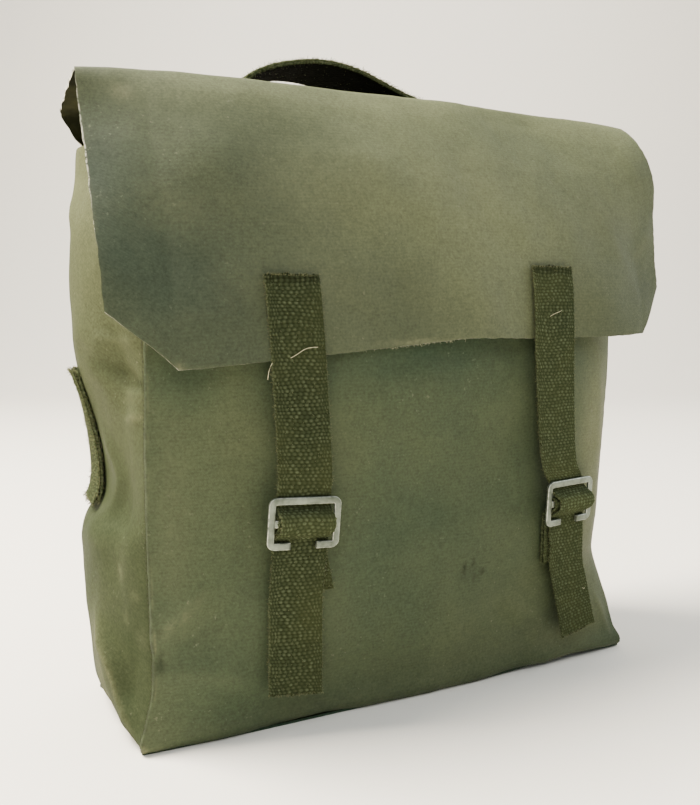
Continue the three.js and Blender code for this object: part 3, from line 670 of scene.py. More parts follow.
class PackShape:
    """The drawn surfaces of the pack, in millimetres."""

    def __init__(self) -> None:
        """Reads the tables."""
        self.front = Profile(FRONT_SECTIONS, "height")
        self.back = Profile(BACK_SECTIONS, "height")
        self.bows = Profile(GUSSET_BOWS, "height")
        self.rear = Profile(FLAP_REARS, "step")
        self.fall = Profile(FLAP_FRONTS, "drop")
        self.hem = Profile(FLAP_HEM_LINE, "across")

    @staticmethod
    def bow_share(across: Array) -> Array:
        """None at either seam, whole in the middle."""
        return 4 * across * (1 - across)

    @staticmethod
    def seam_fade(across: Array) -> Array:
        """Dents fade out at the seams, where the sewing holds the cloth."""
        return np.minimum(1, np.minimum(across, 1 - across) / SEAM_FADE)

    @staticmethod
    def curled(across: Array, edges: tuple[Array, Array, Array], curls: tuple[int, int]) -> Array:
        """Two edge values and a flat middle one, with a curl at each side."""
        left, middle, right = edges
        to_left = np.clip(1 - 2 * across, 0, None) ** curls[0]
        to_right = np.clip(2 * across - 1, 0, None) ** curls[1]
        return middle + (left - middle) * to_left + (right - middle) * to_right

    def front_point(self, across: Array, height: Array) -> Array:
        """Returns points of the front panel's outer face."""
        x = self.front.place(across, height)
        dent = bells(x, height, FRONT_DENTS) * self.seam_fade(across)
        return stacked(x, self.curled(across, self.front.edges(height), FRONT_CURLS) + dent, height)

    def front_at(self, x: Array, height: Array) -> Array:
        """Returns points of the front panel by their place along X."""
        return self.front_point(self.front.share(x, height), height)

    def back_point(self, across: Array, height: Array) -> Array:
        """Returns points of the back panel's outer face."""
        y = self.back.at("y", height) + self.back.at("bow", height) * self.bow_share(across)
        return stacked(self.back.place(across, height), y, height)

    def gusset_point(self, side: Side, across: Array, height: Array, inset: float) -> Array:
        """Returns points of a side wall's outer face.

        Args:
            side: which wall.
            across: share of the way from the front seam to the back one.
            height: heights.
            inset: distance from the panels' outer faces to the wall's edges.

        Returns:
            The points.
        """
        word = side.word
        dents = LEFT_GUSSET_DENTS if side is Side.LEFT else RIGHT_GUSSET_DENTS
        x = lerp(self.front.at(f"{word}_x", height), self.back.at(f"{word}_x", height), across)
        y = lerp(self.front.at(f"{word}_y", height) + inset, self.back.at("y", height) - inset, across)
        bow = self.bows.at(word, height) * self.bow_share(across)
        dent = bells(y, height, dents) * self.seam_fade(across)
        return stacked(x + side.value * (bow - dent), y, height)

    def flap_crest(self, across: Array) -> Array:
        """Returns the height of the flap's front crest."""
        return self.curled(across, FLAP_CREST, FLAP_CURLS)

    def flap_front(self, across: Array, drop: Array) -> Array:
        """Returns points of the flap's outer face in front of the crest."""
        x = self.fall.place(across, drop)
        height = lerp(self.flap_crest(across), self.hem.straight("height", across), drop)
        y = self.curled(across, self.fall.edges(drop), FLAP_CURLS) + bells(x, height, FLAP_RIPPLES)
        return stacked(x, y, height)

    def flap_front_at(self, x: Array, height: Array) -> Array:
        """Returns points of the flap's front by place along X and height."""
        drop = np.full(np.broadcast(x, height).shape, FIRST_DROP)
        for _ in range(DROP_ROUNDS):
            across = self.fall.share(x, drop)
            crest = self.flap_crest(across)
            drop = (crest - height) / (crest - self.hem.straight("height", across))
        return self.flap_front(across, drop)

    def flap_rear(self, across: Array, step: Array) -> Array:
        """Returns points of the flap's outer face on the rear fold and the top."""
        middle = self.bow_share(across)
        y = lerp(self.rear.at("y", step), self.rear.at("middle_y", step), middle)
        height = lerp(self.rear.at("height", step), self.rear.at("middle_height", step), middle)
        return stacked(self.rear.place(across, step), y, height)

    def flap_top_height(self, x: float, y: float) -> float:
        """Returns the height of the flap's top over a place behind the crest."""
        low = 0.0
        high = float(len(FLAP_REARS) - 1)
        point = np.zeros(3)
        for _ in range(HALVINGS):
            step = np.array((low + high) / 2)
            point = self.flap_rear(self.rear.share(x, step), step)
            if point[1] > y:
                low = float(step)
            else:
                high = float(step)
        return float(point[2])


SHAPE = PackShape()


def smooth_rows(keys: Array, spacing: float) -> Array:
    """Runs smooth curves down the columns of a lattice and spaces its rows evenly.

    Args:
        keys: rows by columns by three.
        spacing: the distance between the new rows.

    Returns:
        The new lattice.
    """
    chords = np.sqrt(steps_along(keys)).mean(axis=1)
    knots = np.concatenate(([0.0], np.cumsum(chords)))
    spans = chords[:, None, None]
    slopes = np.diff(keys, axis=0) / spans
    inner = (slopes[:-1] * spans[1:] + slopes[1:] * spans[:-1]) / (spans[1:] + spans[:-1])
    tangents = np.concatenate((slopes[:1], inner, slopes[-1:]))
    fine = np.linspace(0, knots[-1], FINE_ROWS * len(keys))
    low = np.clip(np.searchsorted(knots, fine, side="right") - 1, 0, len(keys) - 2)
    runs = (tangents[low] * spans[low], tangents[low + 1] * spans[low])
    share = ((fine - knots[low]) / chords[low])[:, None, None]
    dense = hermite((keys[low], keys[low + 1]), runs, share)
    length = np.concatenate(([0.0], np.cumsum(steps_along(dense).mean(axis=1))))
    count = max(2, int(round(length[-1] / spacing)) + 1)
    wanted = np.linspace(0, length[-1], count)
    rows = np.empty((count,) + keys.shape[1:])
    for column in range(keys.shape[1]):
        for axis in range(3):
            rows[:, column, axis] = np.interp(wanted, length, dense[:, column, axis])
    return rows


def smooth_path(points: Array) -> Array:
    """Rounds a thread's path by cutting its corners twice."""
    for _ in range(2):
        near = lerp(points[:-1], points[1:], CORNER_CUT)
        far = lerp(points[:-1], points[1:], 1 - CORNER_CUT)
        points = np.concatenate((points[:1], np.stack([near, far], axis=1).reshape(-1, 3), points[-1:]))
    return points


def lattice_normals(lattice: Array) -> Array:
    """Returns unit normals of a lattice, its column way crossed with its row way."""
    return unit(np.cross(np.gradient(lattice, axis=1), np.gradient(lattice, axis=0)))


def lattice_bmesh(lattice: Array, flat: Array, tints: dict[str, Array]) -> bmesh.types.BMesh:
    """Lays a plain grid of cloth on a lattice of points.

    Args:
        lattice: rows by columns by three, in drawing millimetres.
        flat: rows by columns by two, each point's place in the flat cloth in millimetres.
        tints: named values for the finish, rows by columns.

    Returns:
        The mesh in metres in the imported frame.
    """
    rows, columns = lattice.shape[:2]
    cloth = bmesh.new()
    flat_layer = cloth.loops.layers.uv.new("flat")
    layers = {name: cloth.verts.layers.float.new(name) for name in tints}
    made = bmesh.ops.create_grid(cloth, x_segments=columns - 1, y_segments=rows - 1, size=1.0)
    spots = np.array([vert.co for vert in made["verts"]])
    low = spots.min(axis=0)
    span = spots.max(axis=0) - low
    column_of = np.rint((spots[:, 0] - low[0]) / span[0] * (columns - 1)).astype(int)
    row_of = np.rint((spots[:, 1] - low[1]) / span[1] * (rows - 1)).astype(int)
    places = (lattice[row_of, column_of] + ORIGIN) * MM
    spread = flat[row_of, column_of]
    for index, vert in enumerate(made["verts"]):
        vert.co = places[index]
        vert.index = index
        for name, layer in layers.items():
            vert[layer] = tints[name][row_of[index], column_of[index]]
    for face in cloth.faces:
        face.smooth = True
        for loop in face.loops:
            loop[flat_layer].uv = spread[loop.vert.index]
    return cloth


def riding_piece(
    name: str, mesh: bpy.types.Mesh, materials: Sequence[bpy.types.Material],
) -> bpy.types.Object:
    """Makes a mesh a named object that rides on the pack.

    Args:
        name: the piece's name.
        mesh: its shape.
        materials: its finishes in slot order.

    Returns:
        The object.
    """
    for material in materials:
        mesh.materials.append(material)
    piece = bpy.data.objects.new(name, mesh)
    bpy.context.scene.collection.objects.link(piece)
    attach(piece, "root")
    LOG.info("%s: %d faces", name, len(mesh.polygons))
    return piece


def plain_mesh(name: str, source: bmesh.types.BMesh) -> bpy.types.Mesh:
    """Returns a bmesh as a mesh and frees it."""
    mesh = bpy.data.meshes.new(name)
    source.to_mesh(mesh)
    source.free()
    return mesh


def add_shape(shape: bmesh.types.BMesh, extra: bmesh.types.BMesh) -> None:
    """Adds one shape to another and frees it."""
    spare = plain_mesh("spare", extra)
    shape.from_mesh(spare)
    bpy.data.meshes.remove(spare)


def close_tube(tube: bmesh.types.BMesh) -> list[bmesh.types.BMFace]:
    """Closes a rolled-up grid along its seam and at its ends, and returns the end faces."""
    bmesh.ops.remove_doubles(tube, verts=tube.verts, dist=MERGE_DISTANCE)
    rim = [edge for edge in tube.edges if edge.is_boundary]
    caps = bmesh.ops.holes_fill(tube, edges=rim, sides=0)["faces"]
    bmesh.ops.recalc_face_normals(tube, faces=tube.faces)
    return caps


def joined_tubes(name: str, paths: Sequence[Array], radii: Sequence[Array], sides: int,
                 material: bpy.types.Material) -> bpy.types.Object:
    """Makes many thin round threads as one joined mesh.

    Args:
        name: the piece's name.
        paths: each thread's middle line in drawing millimetres.
        radii: each thread's radius at each point of its line.
        sides: how many sides a thread has.
        material: its finish.

    Returns:
        The object.
    """
    points: list[Array] = []
    faces: list[tuple[int, ...]] = []
    start = 0
    turns = np.arange(sides) * 2 * math.pi / sides
    for path, radius in zip(paths, radii):
        along = unit(np.gradient(path, axis=0))
        helper = np.where(np.abs(along[:, 2:]) > STEEP, [[1.0, 0.0, 0.0]], [[0.0, 0.0, 1.0]])
        first = unit(np.cross(along, helper))
        second = np.cross(along, first)
        ring = (
            first[:, None, :] * np.cos(turns)[None, :, None]
            + second[:, None, :] * np.sin(turns)[None, :, None]
        )
        points.append((path[:, None, :] + ring * radius[:, None, None]).reshape(-1, 3))
        for step in range(len(path) - 1):
            low = start + step * sides
            for turn in range(sides):
                after = (turn + 1) % sides
                faces.append((low + turn, low + after, low + sides + after, low + sides + turn))
        faces.append(tuple(start + turn for turn in reversed(range(sides))))
        faces.append(tuple(start + (len(path) - 1) * sides + turn for turn in range(sides)))
        start += len(path) * sides
    mesh = bpy.data.meshes.new(name)
    mesh.from_pydata(((np.concatenate(points) + ORIGIN) * MM).tolist(), [], faces)
    mesh.polygons.foreach_set("use_smooth", [True] * len(mesh.polygons))
    return riding_piece(name, mesh, [material])


Socket = bpy.types.NodeSocket
Colour = tuple[float, float, float, float]
Band = tuple[float, float]


class Noise(NamedTuple):
    """Soft noise: points per metre, octaves, roughness and the band that is stretched to 0 and 1."""

    scale: float
    detail: float
    rough: float = 0.5
    band: Band | None = None


class Relief(NamedTuple):
    """How strongly a height shades a surface, and its depth in metres."""

    strength: float
    distance: float


class Graph:
    """A material's nodes, with short calls to add and join them."""

    def __init__(self, name: str) -> None:
        """Starts a material with one surface shader.

        Args:
            name: the finish's name.
        """
        self.material = bpy.data.materials.new(name)
        self.material.use_nodes = True
        self.nodes = self.material.node_tree.nodes
        self.links = self.material.node_tree.links
        self.shader = self.nodes["Principled BSDF"]
        self.where = self.add("ShaderNodeTexCoord").outputs["Object"]

    def add(
        self, kind: str, settings: dict[str, object] | None = None, **sockets: object,
    ) -> bpy.types.Node:
        """Adds a node.

        Args:
            kind: the node's type name.
            settings: its own options.
            sockets: values or outputs for its inputs; an underscore stands for a space.

        Returns:
            The node.
        """
        node = self.nodes.new(kind)
        for option, value in (settings or {}).items():
            setattr(node, option, value)
        for socket, value in sockets.items():
            self.put(node.inputs[socket.replace("_", " ")], value)
        return node

    def put(self, socket: Socket, value: object) -> None:
        """Sets or joins one input."""
        if isinstance(value, Socket):
            self.links.new(value, socket)
        else:
            socket.default_value = value

    def math(self, operation: str, first: object, second: object = 0.0) -> Socket:
        """Returns a sum of two values."""
        node = self.add("ShaderNodeMath", {"operation": operation})
        self.put(node.inputs[0], first)
        self.put(node.inputs[1], second)
        return node.outputs[0]

    def times(self, first: object, second: object) -> Socket:
        """Returns the product of two values."""
        return self.math("MULTIPLY", first, second)

    def total(self, *parts: tuple[Socket, float]) -> Socket:
        """Returns the sum of values, each with its weight."""
        value, weight = parts[0]
        summed = self.times(value, weight)
        for value, weight in parts[1:]:
            summed = self.math("ADD", summed, self.times(value, weight))
        return summed

    def mix(self, factor: object, first: object, second: object, blend: str = "MIX") -> Socket:
        """Returns a mix of two colours."""
        node = self.add("ShaderNodeMix", {"data_type": "RGBA", "blend_type": blend})
        self.put(node.inputs[0], factor)
        self.put(node.inputs[6], first)
        self.put(node.inputs[7], second)
        return node.outputs[2]

    def span(self, value: object, band: Band) -> Socket:
        """Returns a value with a band of it stretched to 0 and 1, kept between them."""
        limits = {"From_Min": band[0], "From_Max": band[1]}
        node = self.add("ShaderNodeMapRange", {"clamp": True}, Value=value, **limits)
        return node.outputs[0]

    def noise(self, kind: Noise, where: Socket | None = None) -> Socket:
        """Returns soft noise over the piece, or over another coordinate."""
        node = self.add(
            "ShaderNodeTexNoise", None, Vector=where or self.where, Scale=kind.scale, Detail=kind.detail,
            Roughness=kind.rough,
        )
        value = node.outputs["Fac"]
        return self.span(value, kind.band) if kind.band else value

    def tint(self, name: str) -> Socket:
        """Returns a named value that the mesh carries."""
        return self.add("ShaderNodeAttribute", {"attribute_name": name}).outputs["Fac"]

    def relief(self, height: Socket, kind: Relief, **normal: Socket) -> Socket:
        """Returns the surface's directions over a fine height, on top of others if they are given."""
        node = self.add(
            "ShaderNodeBump", None, Strength=kind.strength, Distance=kind.distance, Height=height, **normal,
        )
        return node.outputs[0]

    def finish(self, **sockets: object) -> bpy.types.Material:
        """Joins the surface shader's inputs and returns the material."""
        for socket, value in sockets.items():
            self.put(self.shader.inputs[socket.replace("_", " ")], value)
        return self.material


@dataclass(frozen=True)
class CanvasFinish:
    """Rubber-coated olive canvas, rubbed pale on its folds, with painted light and shade carried in its
    tints.
    """

    name: str
    deep: Colour = (0.0210, 0.0385, 0.0205, 1)
    warm: Colour = (0.156, 0.158, 0.073, 1)
    # Pale colour for rubbed places, and for painted highlights on some folds and seam edges.
    rubbed: Colour = (0.170, 0.172, 0.095, 1)
    dust: Colour = (0.22, 0.22, 0.15, 1)
    # Dark colour for real stains, and for painted shade in hollows, seam lines and folds and under the
    # flap's corner.
    grime: Colour = (0.009, 0.012, 0.005, 1)
    cotton: Colour = (0.55, 0.53, 0.42, 1)
    cloud: Noise = Noise(11.0, 3.0, 0.5, (0.32, 0.68))
    blotch: Noise = Noise(52.0, 5.0, 0.62)
    fleck: Noise = Noise(230.0, 4.0, 0.66)
    grain: Noise = Noise(620.0, 4.0, 0.7)
    rub: Noise = Noise(260.0, 4.0, 0.7, (0.25, 0.62))
    dirt: Noise = Noise(210.0, 3.0, 0.6, (0.30, 0.55))
    speck: Noise = Noise(380.0, 2.0, 0.6, (0.66, 0.74))
    speck_cloud: Noise = Noise(31.0, 2.0, 0.5, (0.40, 0.64))
    bare_dots: Noise = Noise(420.0, 3.0, 0.7, (0.36, 0.52))
    bare_band: Band = (0.58, 0.92)
    grain_band: Band = (0.34, 0.66)
    drift: float = 0.14
    least_shade: float = 0.46
    blotch_shade: float = 0.30
    fleck_shade: float = 0.42
    grain_shade: float = 0.36
    rib_shade: float = 0.026
    most_marked: float = 0.85
    speck_shade: float = 0.26
    weave_rise: float = 0.55
    grain_rise: float = 0.8
    rib_rise: float = 0.12
    fine_relief: Relief = Relief(0.42, 0.00022)
    soft_relief: Relief = Relief(0.25, 0.0016)
    weave_pitch: float = 0.85
    rib_pitch: float = 2.0
    rib_slant: float = 0.0
    rib_waver: float = 5.0
    roughness: float = 0.51
    rough_spread: float = 0.2
    gloss: float = 0.12

    def material(self) -> bpy.types.Material:
        """Builds the coated canvas."""
        graph = Graph(self.name)
        flat = graph.add("ShaderNodeUVMap", {"uv_map": "flat"}).outputs[0]
        blotch = graph.noise(self.blotch)
        grain = graph.noise(self.grain)
        rib = self.rib(graph, flat, blotch)
        # The fade tint mixes the cloth's own faded colour with painted light and shade: side walls lighter
        # towards the top, painted shadow below the flap, painted light on the front's right side, the flap's
        # crest and the left wall's folds.
        drift = graph.times(graph.math("SUBTRACT", graph.noise(self.cloud), 0.5), self.drift)
        faded = graph.math("ADD", graph.tint("fade"), drift)
        faded = graph.add("ShaderNodeClamp", None, Value=faded).outputs[0]
        shade = graph.total(
            (blotch, self.blotch_shade), (graph.noise(self.fleck), self.fleck_shade),
            (graph.span(grain, self.grain_band), self.grain_shade), (rib, self.rib_shade),
        )
        colour = graph.mix(faded, self.deep, self.warm)
        colour = graph.mix(1.0, colour, graph.math("ADD", shade, self.least_shade), "MULTIPLY")
        # The first tint carries rubbing and painted highlights, the second real stains and painted shade.
        for tint, noise, mark in (("wear", self.rub, self.rubbed), ("stain", self.dirt, self.grime)):
            amount = graph.times(graph.tint(tint), graph.noise(noise))
            colour = graph.mix(graph.math("MINIMUM", amount, self.most_marked), colour, mark)
        specks = graph.times(graph.noise(self.speck), graph.noise(self.speck_cloud))
        colour = graph.mix(graph.times(specks, self.speck_shade), colour, self.dust)
        bare = graph.times(graph.span(graph.tint("bare"), self.bare_band), graph.noise(self.bare_dots))
        colour = graph.mix(bare, colour, self.cotton)
        rise = graph.total(
            (self.weave(graph, flat), self.weave_rise), (grain, self.grain_rise), (rib, self.rib_rise),
        )
        fine = graph.relief(rise, self.fine_relief)
        return graph.finish(
            Base_Color=colour,
            Roughness=graph.math("ADD", self.roughness, graph.times(blotch, self.rough_spread)),
            Normal=graph.relief(blotch, self.soft_relief, Normal=fine),
            Specular_IOR_Level=self.gloss,
        )

    def rib(self, graph: Graph, flat: Socket, waver: Socket) -> Socket:
        """Returns the faint ribs of the cloth, which waver a little, from -1 to 1."""
        parts = graph.add("ShaderNodeSeparateXYZ", None, Vector=flat).outputs
        slanted = graph.math("ADD", parts[1], graph.times(parts[0], self.rib_slant))
        turns = graph.times(slanted, 2 * math.pi / self.rib_pitch)
        return graph.math("SINE", graph.math("ADD", turns, graph.times(waver, self.rib_waver)))

    def weave(self, graph: Graph, flat: Socket) -> Socket:
        """Returns the height of the canvas threads over the flat cloth."""
        parts = graph.add("ShaderNodeSeparateXYZ", None, Vector=flat).outputs
        turns = 2 * math.pi / self.weave_pitch
        across = graph.math("SINE", graph.times(parts[0], turns))
        return graph.times(across, graph.math("SINE", graph.times(parts[1], turns)))


@dataclass(frozen=True)
class InnerFinish:
    """The inner face of the canvas: its dark rubbery coating, made darker still as painted shade."""

    name: str = "canvas_inside"
    black: Colour = (0.008, 0.009, 0.004, 1)
    olive: Colour = (0.026, 0.027, 0.012, 1)
    cloud: Noise = Noise(40.0, 4.0, 0.6, (0.4, 0.7))
    swell: Noise = Noise(90.0, 3.0)
    swell_relief: Relief = Relief(0.4, 0.001)
    roughness: float = 0.9
    gloss: float = 0.03

    def material(self) -> bpy.types.Material:
        """Builds the inner coating."""
        graph = Graph(self.name)
        return graph.finish(
            Base_Color=graph.mix(graph.noise(self.cloud), self.black, self.olive),
            Roughness=self.roughness,
            Normal=graph.relief(graph.noise(self.swell), self.swell_relief),
            Specular_IOR_Level=self.gloss,
        )


@dataclass(frozen=True)
class CutEdgeFinish:
    """The raw cut edge of the canvas, where pale cotton shows between the coatings."""

    name: str = "canvas_cut_edge"
    cotton: Colour = (0.62, 0.60, 0.50, 1)
    coated: Colour = (0.036, 0.041, 0.018, 1)
    dots: Noise = Noise(420.0, 3.0, 0.7, (0.42, 0.56))
    cloud: Noise = Noise(38.0, 2.0, 0.5, (0.36, 0.60))
    roughness: float = 0.95

    def material(self) -> bpy.types.Material:
        """Builds the cut edge."""
        graph = Graph(self.name)
        bare = graph.times(graph.times(graph.noise(self.dots), graph.noise(self.cloud)), graph.tint("fray"))
        return graph.finish(Base_Color=graph.mix(bare, self.coated, self.cotton), Roughness=self.roughness)


@dataclass(frozen=True)
class WebbingFinish:
    """Coarse cotton webbing: darker between its yarns as painted shade, yellowish on their tops as painted
    highlight.
    """

    name: str = "cotton_webbing"
    # The pit colour is painted shade between the yarns, the crown colour a painted highlight on their tops.
    pit: Colour = (0.010, 0.013, 0.006, 1)
    yarn: Colour = (0.035, 0.044, 0.021, 1)
    crown: Colour = (0.094, 0.111, 0.062, 1)
    faded: Colour = (0.056, 0.062, 0.022, 1)
    dim: Colour = (0.36, 0.36, 0.36, 1)
    light: Colour = (0.64, 0.64, 0.64, 1)
    yarn_band: Band = (0.05, 0.62)
    crown_band: Band = (0.55, 1.0)
    mottle: Noise = Noise(420.0, 3.0, 0.6, (0.30, 0.70))
    fine: Noise = Noise(2600.0, 3.0, 0.7)
    fade: Noise = Noise(24.0, 2.0, 0.5, (0.3, 0.7))
    fade_share: float = 0.25
    fine_share: float = 0.5
    fine_relief: Relief = Relief(0.5, 0.0003)
    roughness: float = 0.95
    gloss: float = 0.03

    def material(self) -> bpy.types.Material:
        """Builds the webbing."""
        graph = Graph(self.name)
        height = graph.tint("weave")
        fine = graph.noise(self.fine)
        colour = graph.mix(graph.span(height, self.yarn_band), self.pit, self.yarn)
        # Painted highlight on the yarn tops.
        top = graph.times(graph.span(height, self.crown_band), graph.noise(self.mottle))
        colour = graph.mix(top, colour, self.crown)
        colour = graph.mix(graph.times(graph.noise(self.fade), self.fade_share), colour, self.faded)
        colour = graph.mix(self.fine_share, colour, graph.mix(fine, self.dim, self.light), "OVERLAY")
        return graph.finish(
            Base_Color=graph.mix(1.0, colour, graph.tint("tone"), "MULTIPLY"),
            Roughness=self.roughness,
            Normal=graph.relief(fine, self.fine_relief),
            Specular_IOR_Level=self.gloss,
        )


@dataclass(frozen=True)
class ThreadFinish:
    """Plain thread or fibre of one colour."""

    name: str
    colour: Colour
    darker: float = 0.55
    ply: Noise = Noise(900.0, 2.0, 0.5, (0.35, 0.65))
    roughness: float = 0.9

    def material(self) -> bpy.types.Material:
        """Builds the thread."""
        graph = Graph(self.name)
        dark = tuple(part * self.darker for part in self.colour[:3]) + (1,)
        return graph.finish(
            Base_Color=graph.mix(graph.noise(self.ply), dark, self.colour), Roughness=self.roughness,
        )


@dataclass(frozen=True)
class ZincFinish:
    """Satin galvanised steel with faint handling marks, and a pale tint on its edges, partly rubbing and
    partly painted highlight.
    """

    name: str = "zinc_plate"
    bright: Colour = (0.180, 0.210, 0.171, 1)
    dull: Colour = (0.078, 0.095, 0.072, 1)
    worn: Colour = (0.46, 0.48, 0.41, 1)
    cloud: Noise = Noise(70.0, 4.0, 0.6, (0.38, 0.62))
    scratch: Noise = Noise(1.0, 2.0)
    stretch: tuple[float, float, float] = (300.0, 300.0, 2600.0)
    rub: Noise = Noise(420.0, 3.0, 0.5, (0.3, 0.6))
    scratch_relief: Relief = Relief(0.12, 0.0002)
    metal: float = 0.85
    roughness: float = 0.36
    rough_spread: float = 0.22

    def material(self) -> bpy.types.Material:
        """Builds the zinc."""
        graph = Graph(self.name)
        stretched = graph.add("ShaderNodeMapping", None, Vector=graph.where, Scale=self.stretch).outputs[0]
        scratch = graph.noise(self.scratch, stretched)
        # Pale tint on the bars' edges: partly rubbing, partly painted highlight.
        edge = graph.times(graph.tint("edge"), graph.noise(self.rub))
        plate = graph.mix(graph.noise(self.cloud), self.bright, self.dull)
        return graph.finish(
            Base_Color=graph.mix(edge, plate, self.worn),
            Metallic=self.metal,
            Roughness=graph.math("ADD", self.roughness, graph.times(scratch, self.rough_spread)),
            Normal=graph.relief(scratch, self.scratch_relief),
        )


@dataclass(frozen=True)
class FloorFinish:
    """Plain pale floor."""

    name: str = "pale_floor"
    pale: Colour = (0.92, 0.875, 0.785, 1)
    roughness: float = 0.9
    gloss: float = 0.1

    def material(self) -> bpy.types.Material:
        """Builds the floor."""
        graph = Graph(self.name)
        return graph.finish(Base_Color=self.pale, Roughness=self.roughness, Specular_IOR_Level=self.gloss)


class Finishes:
    """Every finish of the pack, built once."""

    def __init__(self) -> None:
        """Builds the finishes."""
        self.canvas = CanvasFinish("olive_canvas").material()
        self.flap_canvas = CanvasFinish(
            "olive_canvas_flap", deep=(0.0240, 0.0350, 0.0215, 1), warm=(0.153, 0.163, 0.081, 1),
        ).material()
        # A darker copy of the canvas for the side walls: painted shade, to dim them under the same lamps.
        self.pale_canvas = CanvasFinish(
            "olive_canvas_sides", deep=(0.023, 0.032, 0.0145, 1), warm=(0.110, 0.117, 0.060, 1),
            rib_slant=0.8, gloss=0.03,
        ).material()
        self.inside = InnerFinish().material()
        self.cut_edge = CutEdgeFinish().material()
        self.webbing = WebbingFinish().material()
        self.fibre = ThreadFinish("webbing_fibre", (0.140, 0.146, 0.060, 1)).material()
        self.stitch = ThreadFinish("sewing_thread", (0.042, 0.046, 0.020, 1)).material()
        self.loose_thread = ThreadFinish("pale_thread", (0.50, 0.47, 0.30, 1)).material()
        self.zinc = ZincFinish().material()
        self.floor = FloorFinish().material()


@dataclass
class Sheet:
    """A panel of canvas laid on a lattice, with folds, puckers and rubbed places."""

    name: str
    nodes: tuple[str, ...]
    lattice: Array
    slot: str
    hold: Hold
    rests_on: tuple[str, ...]
    tints: dict[str, Array]

    def flat_size(self) -> tuple[float, float]:
        """Returns the cut size of the cloth in metres, from its mean arcs."""
        width = np.linalg.norm(np.diff(self.lattice, axis=1), axis=2).sum(axis=1).mean()
        length = np.linalg.norm(np.diff(self.lattice, axis=0), axis=2).sum(axis=0).mean()
        return width * MM, length * MM

    def build(self, materials: Sequence[bpy.types.Material]) -> bpy.types.Object:
        """Makes the panel with its wall behind the outer face.

        Args:
            materials: outer face, cut edge and the shaded inner face.

        Returns:
            The object.
        """
        rows, columns = self.lattice.shape[:2]
        width, length = self.flat_size()
        across, along = np.meshgrid(np.linspace(0, width / MM, columns), np.linspace(0, length / MM, rows))
        cloth = lattice_bmesh(self.lattice, np.stack([across, along], axis=-1), self.tints)
        for edge in cloth.edges:
            edge.smooth = not edge.is_boundary
        piece = riding_piece(self.name, plain_mesh(self.name, cloth), materials)
        wall = piece.modifiers.new("wall", "SOLIDIFY")
        wall.thickness = CANVAS_WALL * MM
        wall.offset = -1.0
        wall.use_even_offset = False
        wall.material_offset = 2
        wall.material_offset_rim = 1
        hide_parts(*self.nodes)
        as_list(self.rests_on)
        return piece


@dataclass(frozen=True)
class Seam:
    """The sewn edges of the panels: a rolled ridge on one panel and a groove on the next, with painted lines
    of light and shade along the ridge.
    """

    lip: float = 0.08
    lip_width: float = 1.2
    hollow: float = 0.10
    hollow_at: float = 4.5
    hollow_width: float = 3.0
    # Pale line along the rolled edge: partly rubbing, partly painted highlight.
    rub: float = 0.26
    rub_at: float = 1.4
    rub_width: float = 0.6
    rub_length: float = 20.0
    rub_seed: int = 60
    # Dark line where the panels are sewn: partly soiling, partly painted shadow in the seam.
    dirt: float = 0.55
    dirt_at: float = 0.1
    dirt_width: float = 0.8
    groove: float = 0.25
    groove_width: float = 1.5
    pucker_pitch: float = 9.5
    pucker_reach: float = 8.0
    pucker_sway: float = 1.7
    pucker_sway_length: float = 60.0
    pucker_spread: float = 0.45
    ridge_pucker: float = 0.08
    groove_pucker: float = 0.12

    def puckers(self, distance: Array, along: Array, seed: int) -> Array:
        """Returns the small waves that sewing leaves beside a seam, and fade away from it."""
        sway = rumple(along, 0, self.pucker_sway_length, seed)
        turns = 2 * math.pi * along / self.pucker_pitch + self.pucker_sway * sway
        height = 1 - self.pucker_spread + self.pucker_spread * sway
        return np.sin(turns) * height * np.exp(-distance / self.pucker_reach)

    def ridge(self, distance: Array, along: Array, seed: int) -> Array:
        """Shapes a rolled edge: a slight ridge with a pale line, partly rubbing and partly painted
        highlight, and a dark line where it is sewn, partly soiling and partly painted shadow.

        Args:
            distance: distance from the edge.
            along: distance along it.
            seed: picks the unevenness.

        Returns:
            The lift, the pale tint of rubbing and painted highlight, and the dark tint of stains and painted
            shadow.
        """
        lip = self.lip * bump(distance / self.lip_width)
        lip -= self.hollow * bump((distance - self.hollow_at) / self.hollow_width)
        wear = self.rub * bump((distance - self.rub_at) / self.rub_width)
        wear *= patchy(along, 0, self.rub_length, seed + self.rub_seed)
        stain = self.dirt * bump((distance - self.dirt_at) / self.dirt_width)
        return np.array([
            lip + self.ridge_pucker * self.puckers(distance, along, seed), np.clip(wear, 0, 1), stain,
        ])

    def sunk(self, distance: Array, along: Array, seed: int) -> Array:
        """Returns the lift of an edge that is sewn in behind a ridge: a groove with puckers."""
        puckers = self.groove_pucker * self.puckers(distance, along, seed)
        return puckers - self.groove * bump(distance / self.groove_width)


SEAM = Seam()


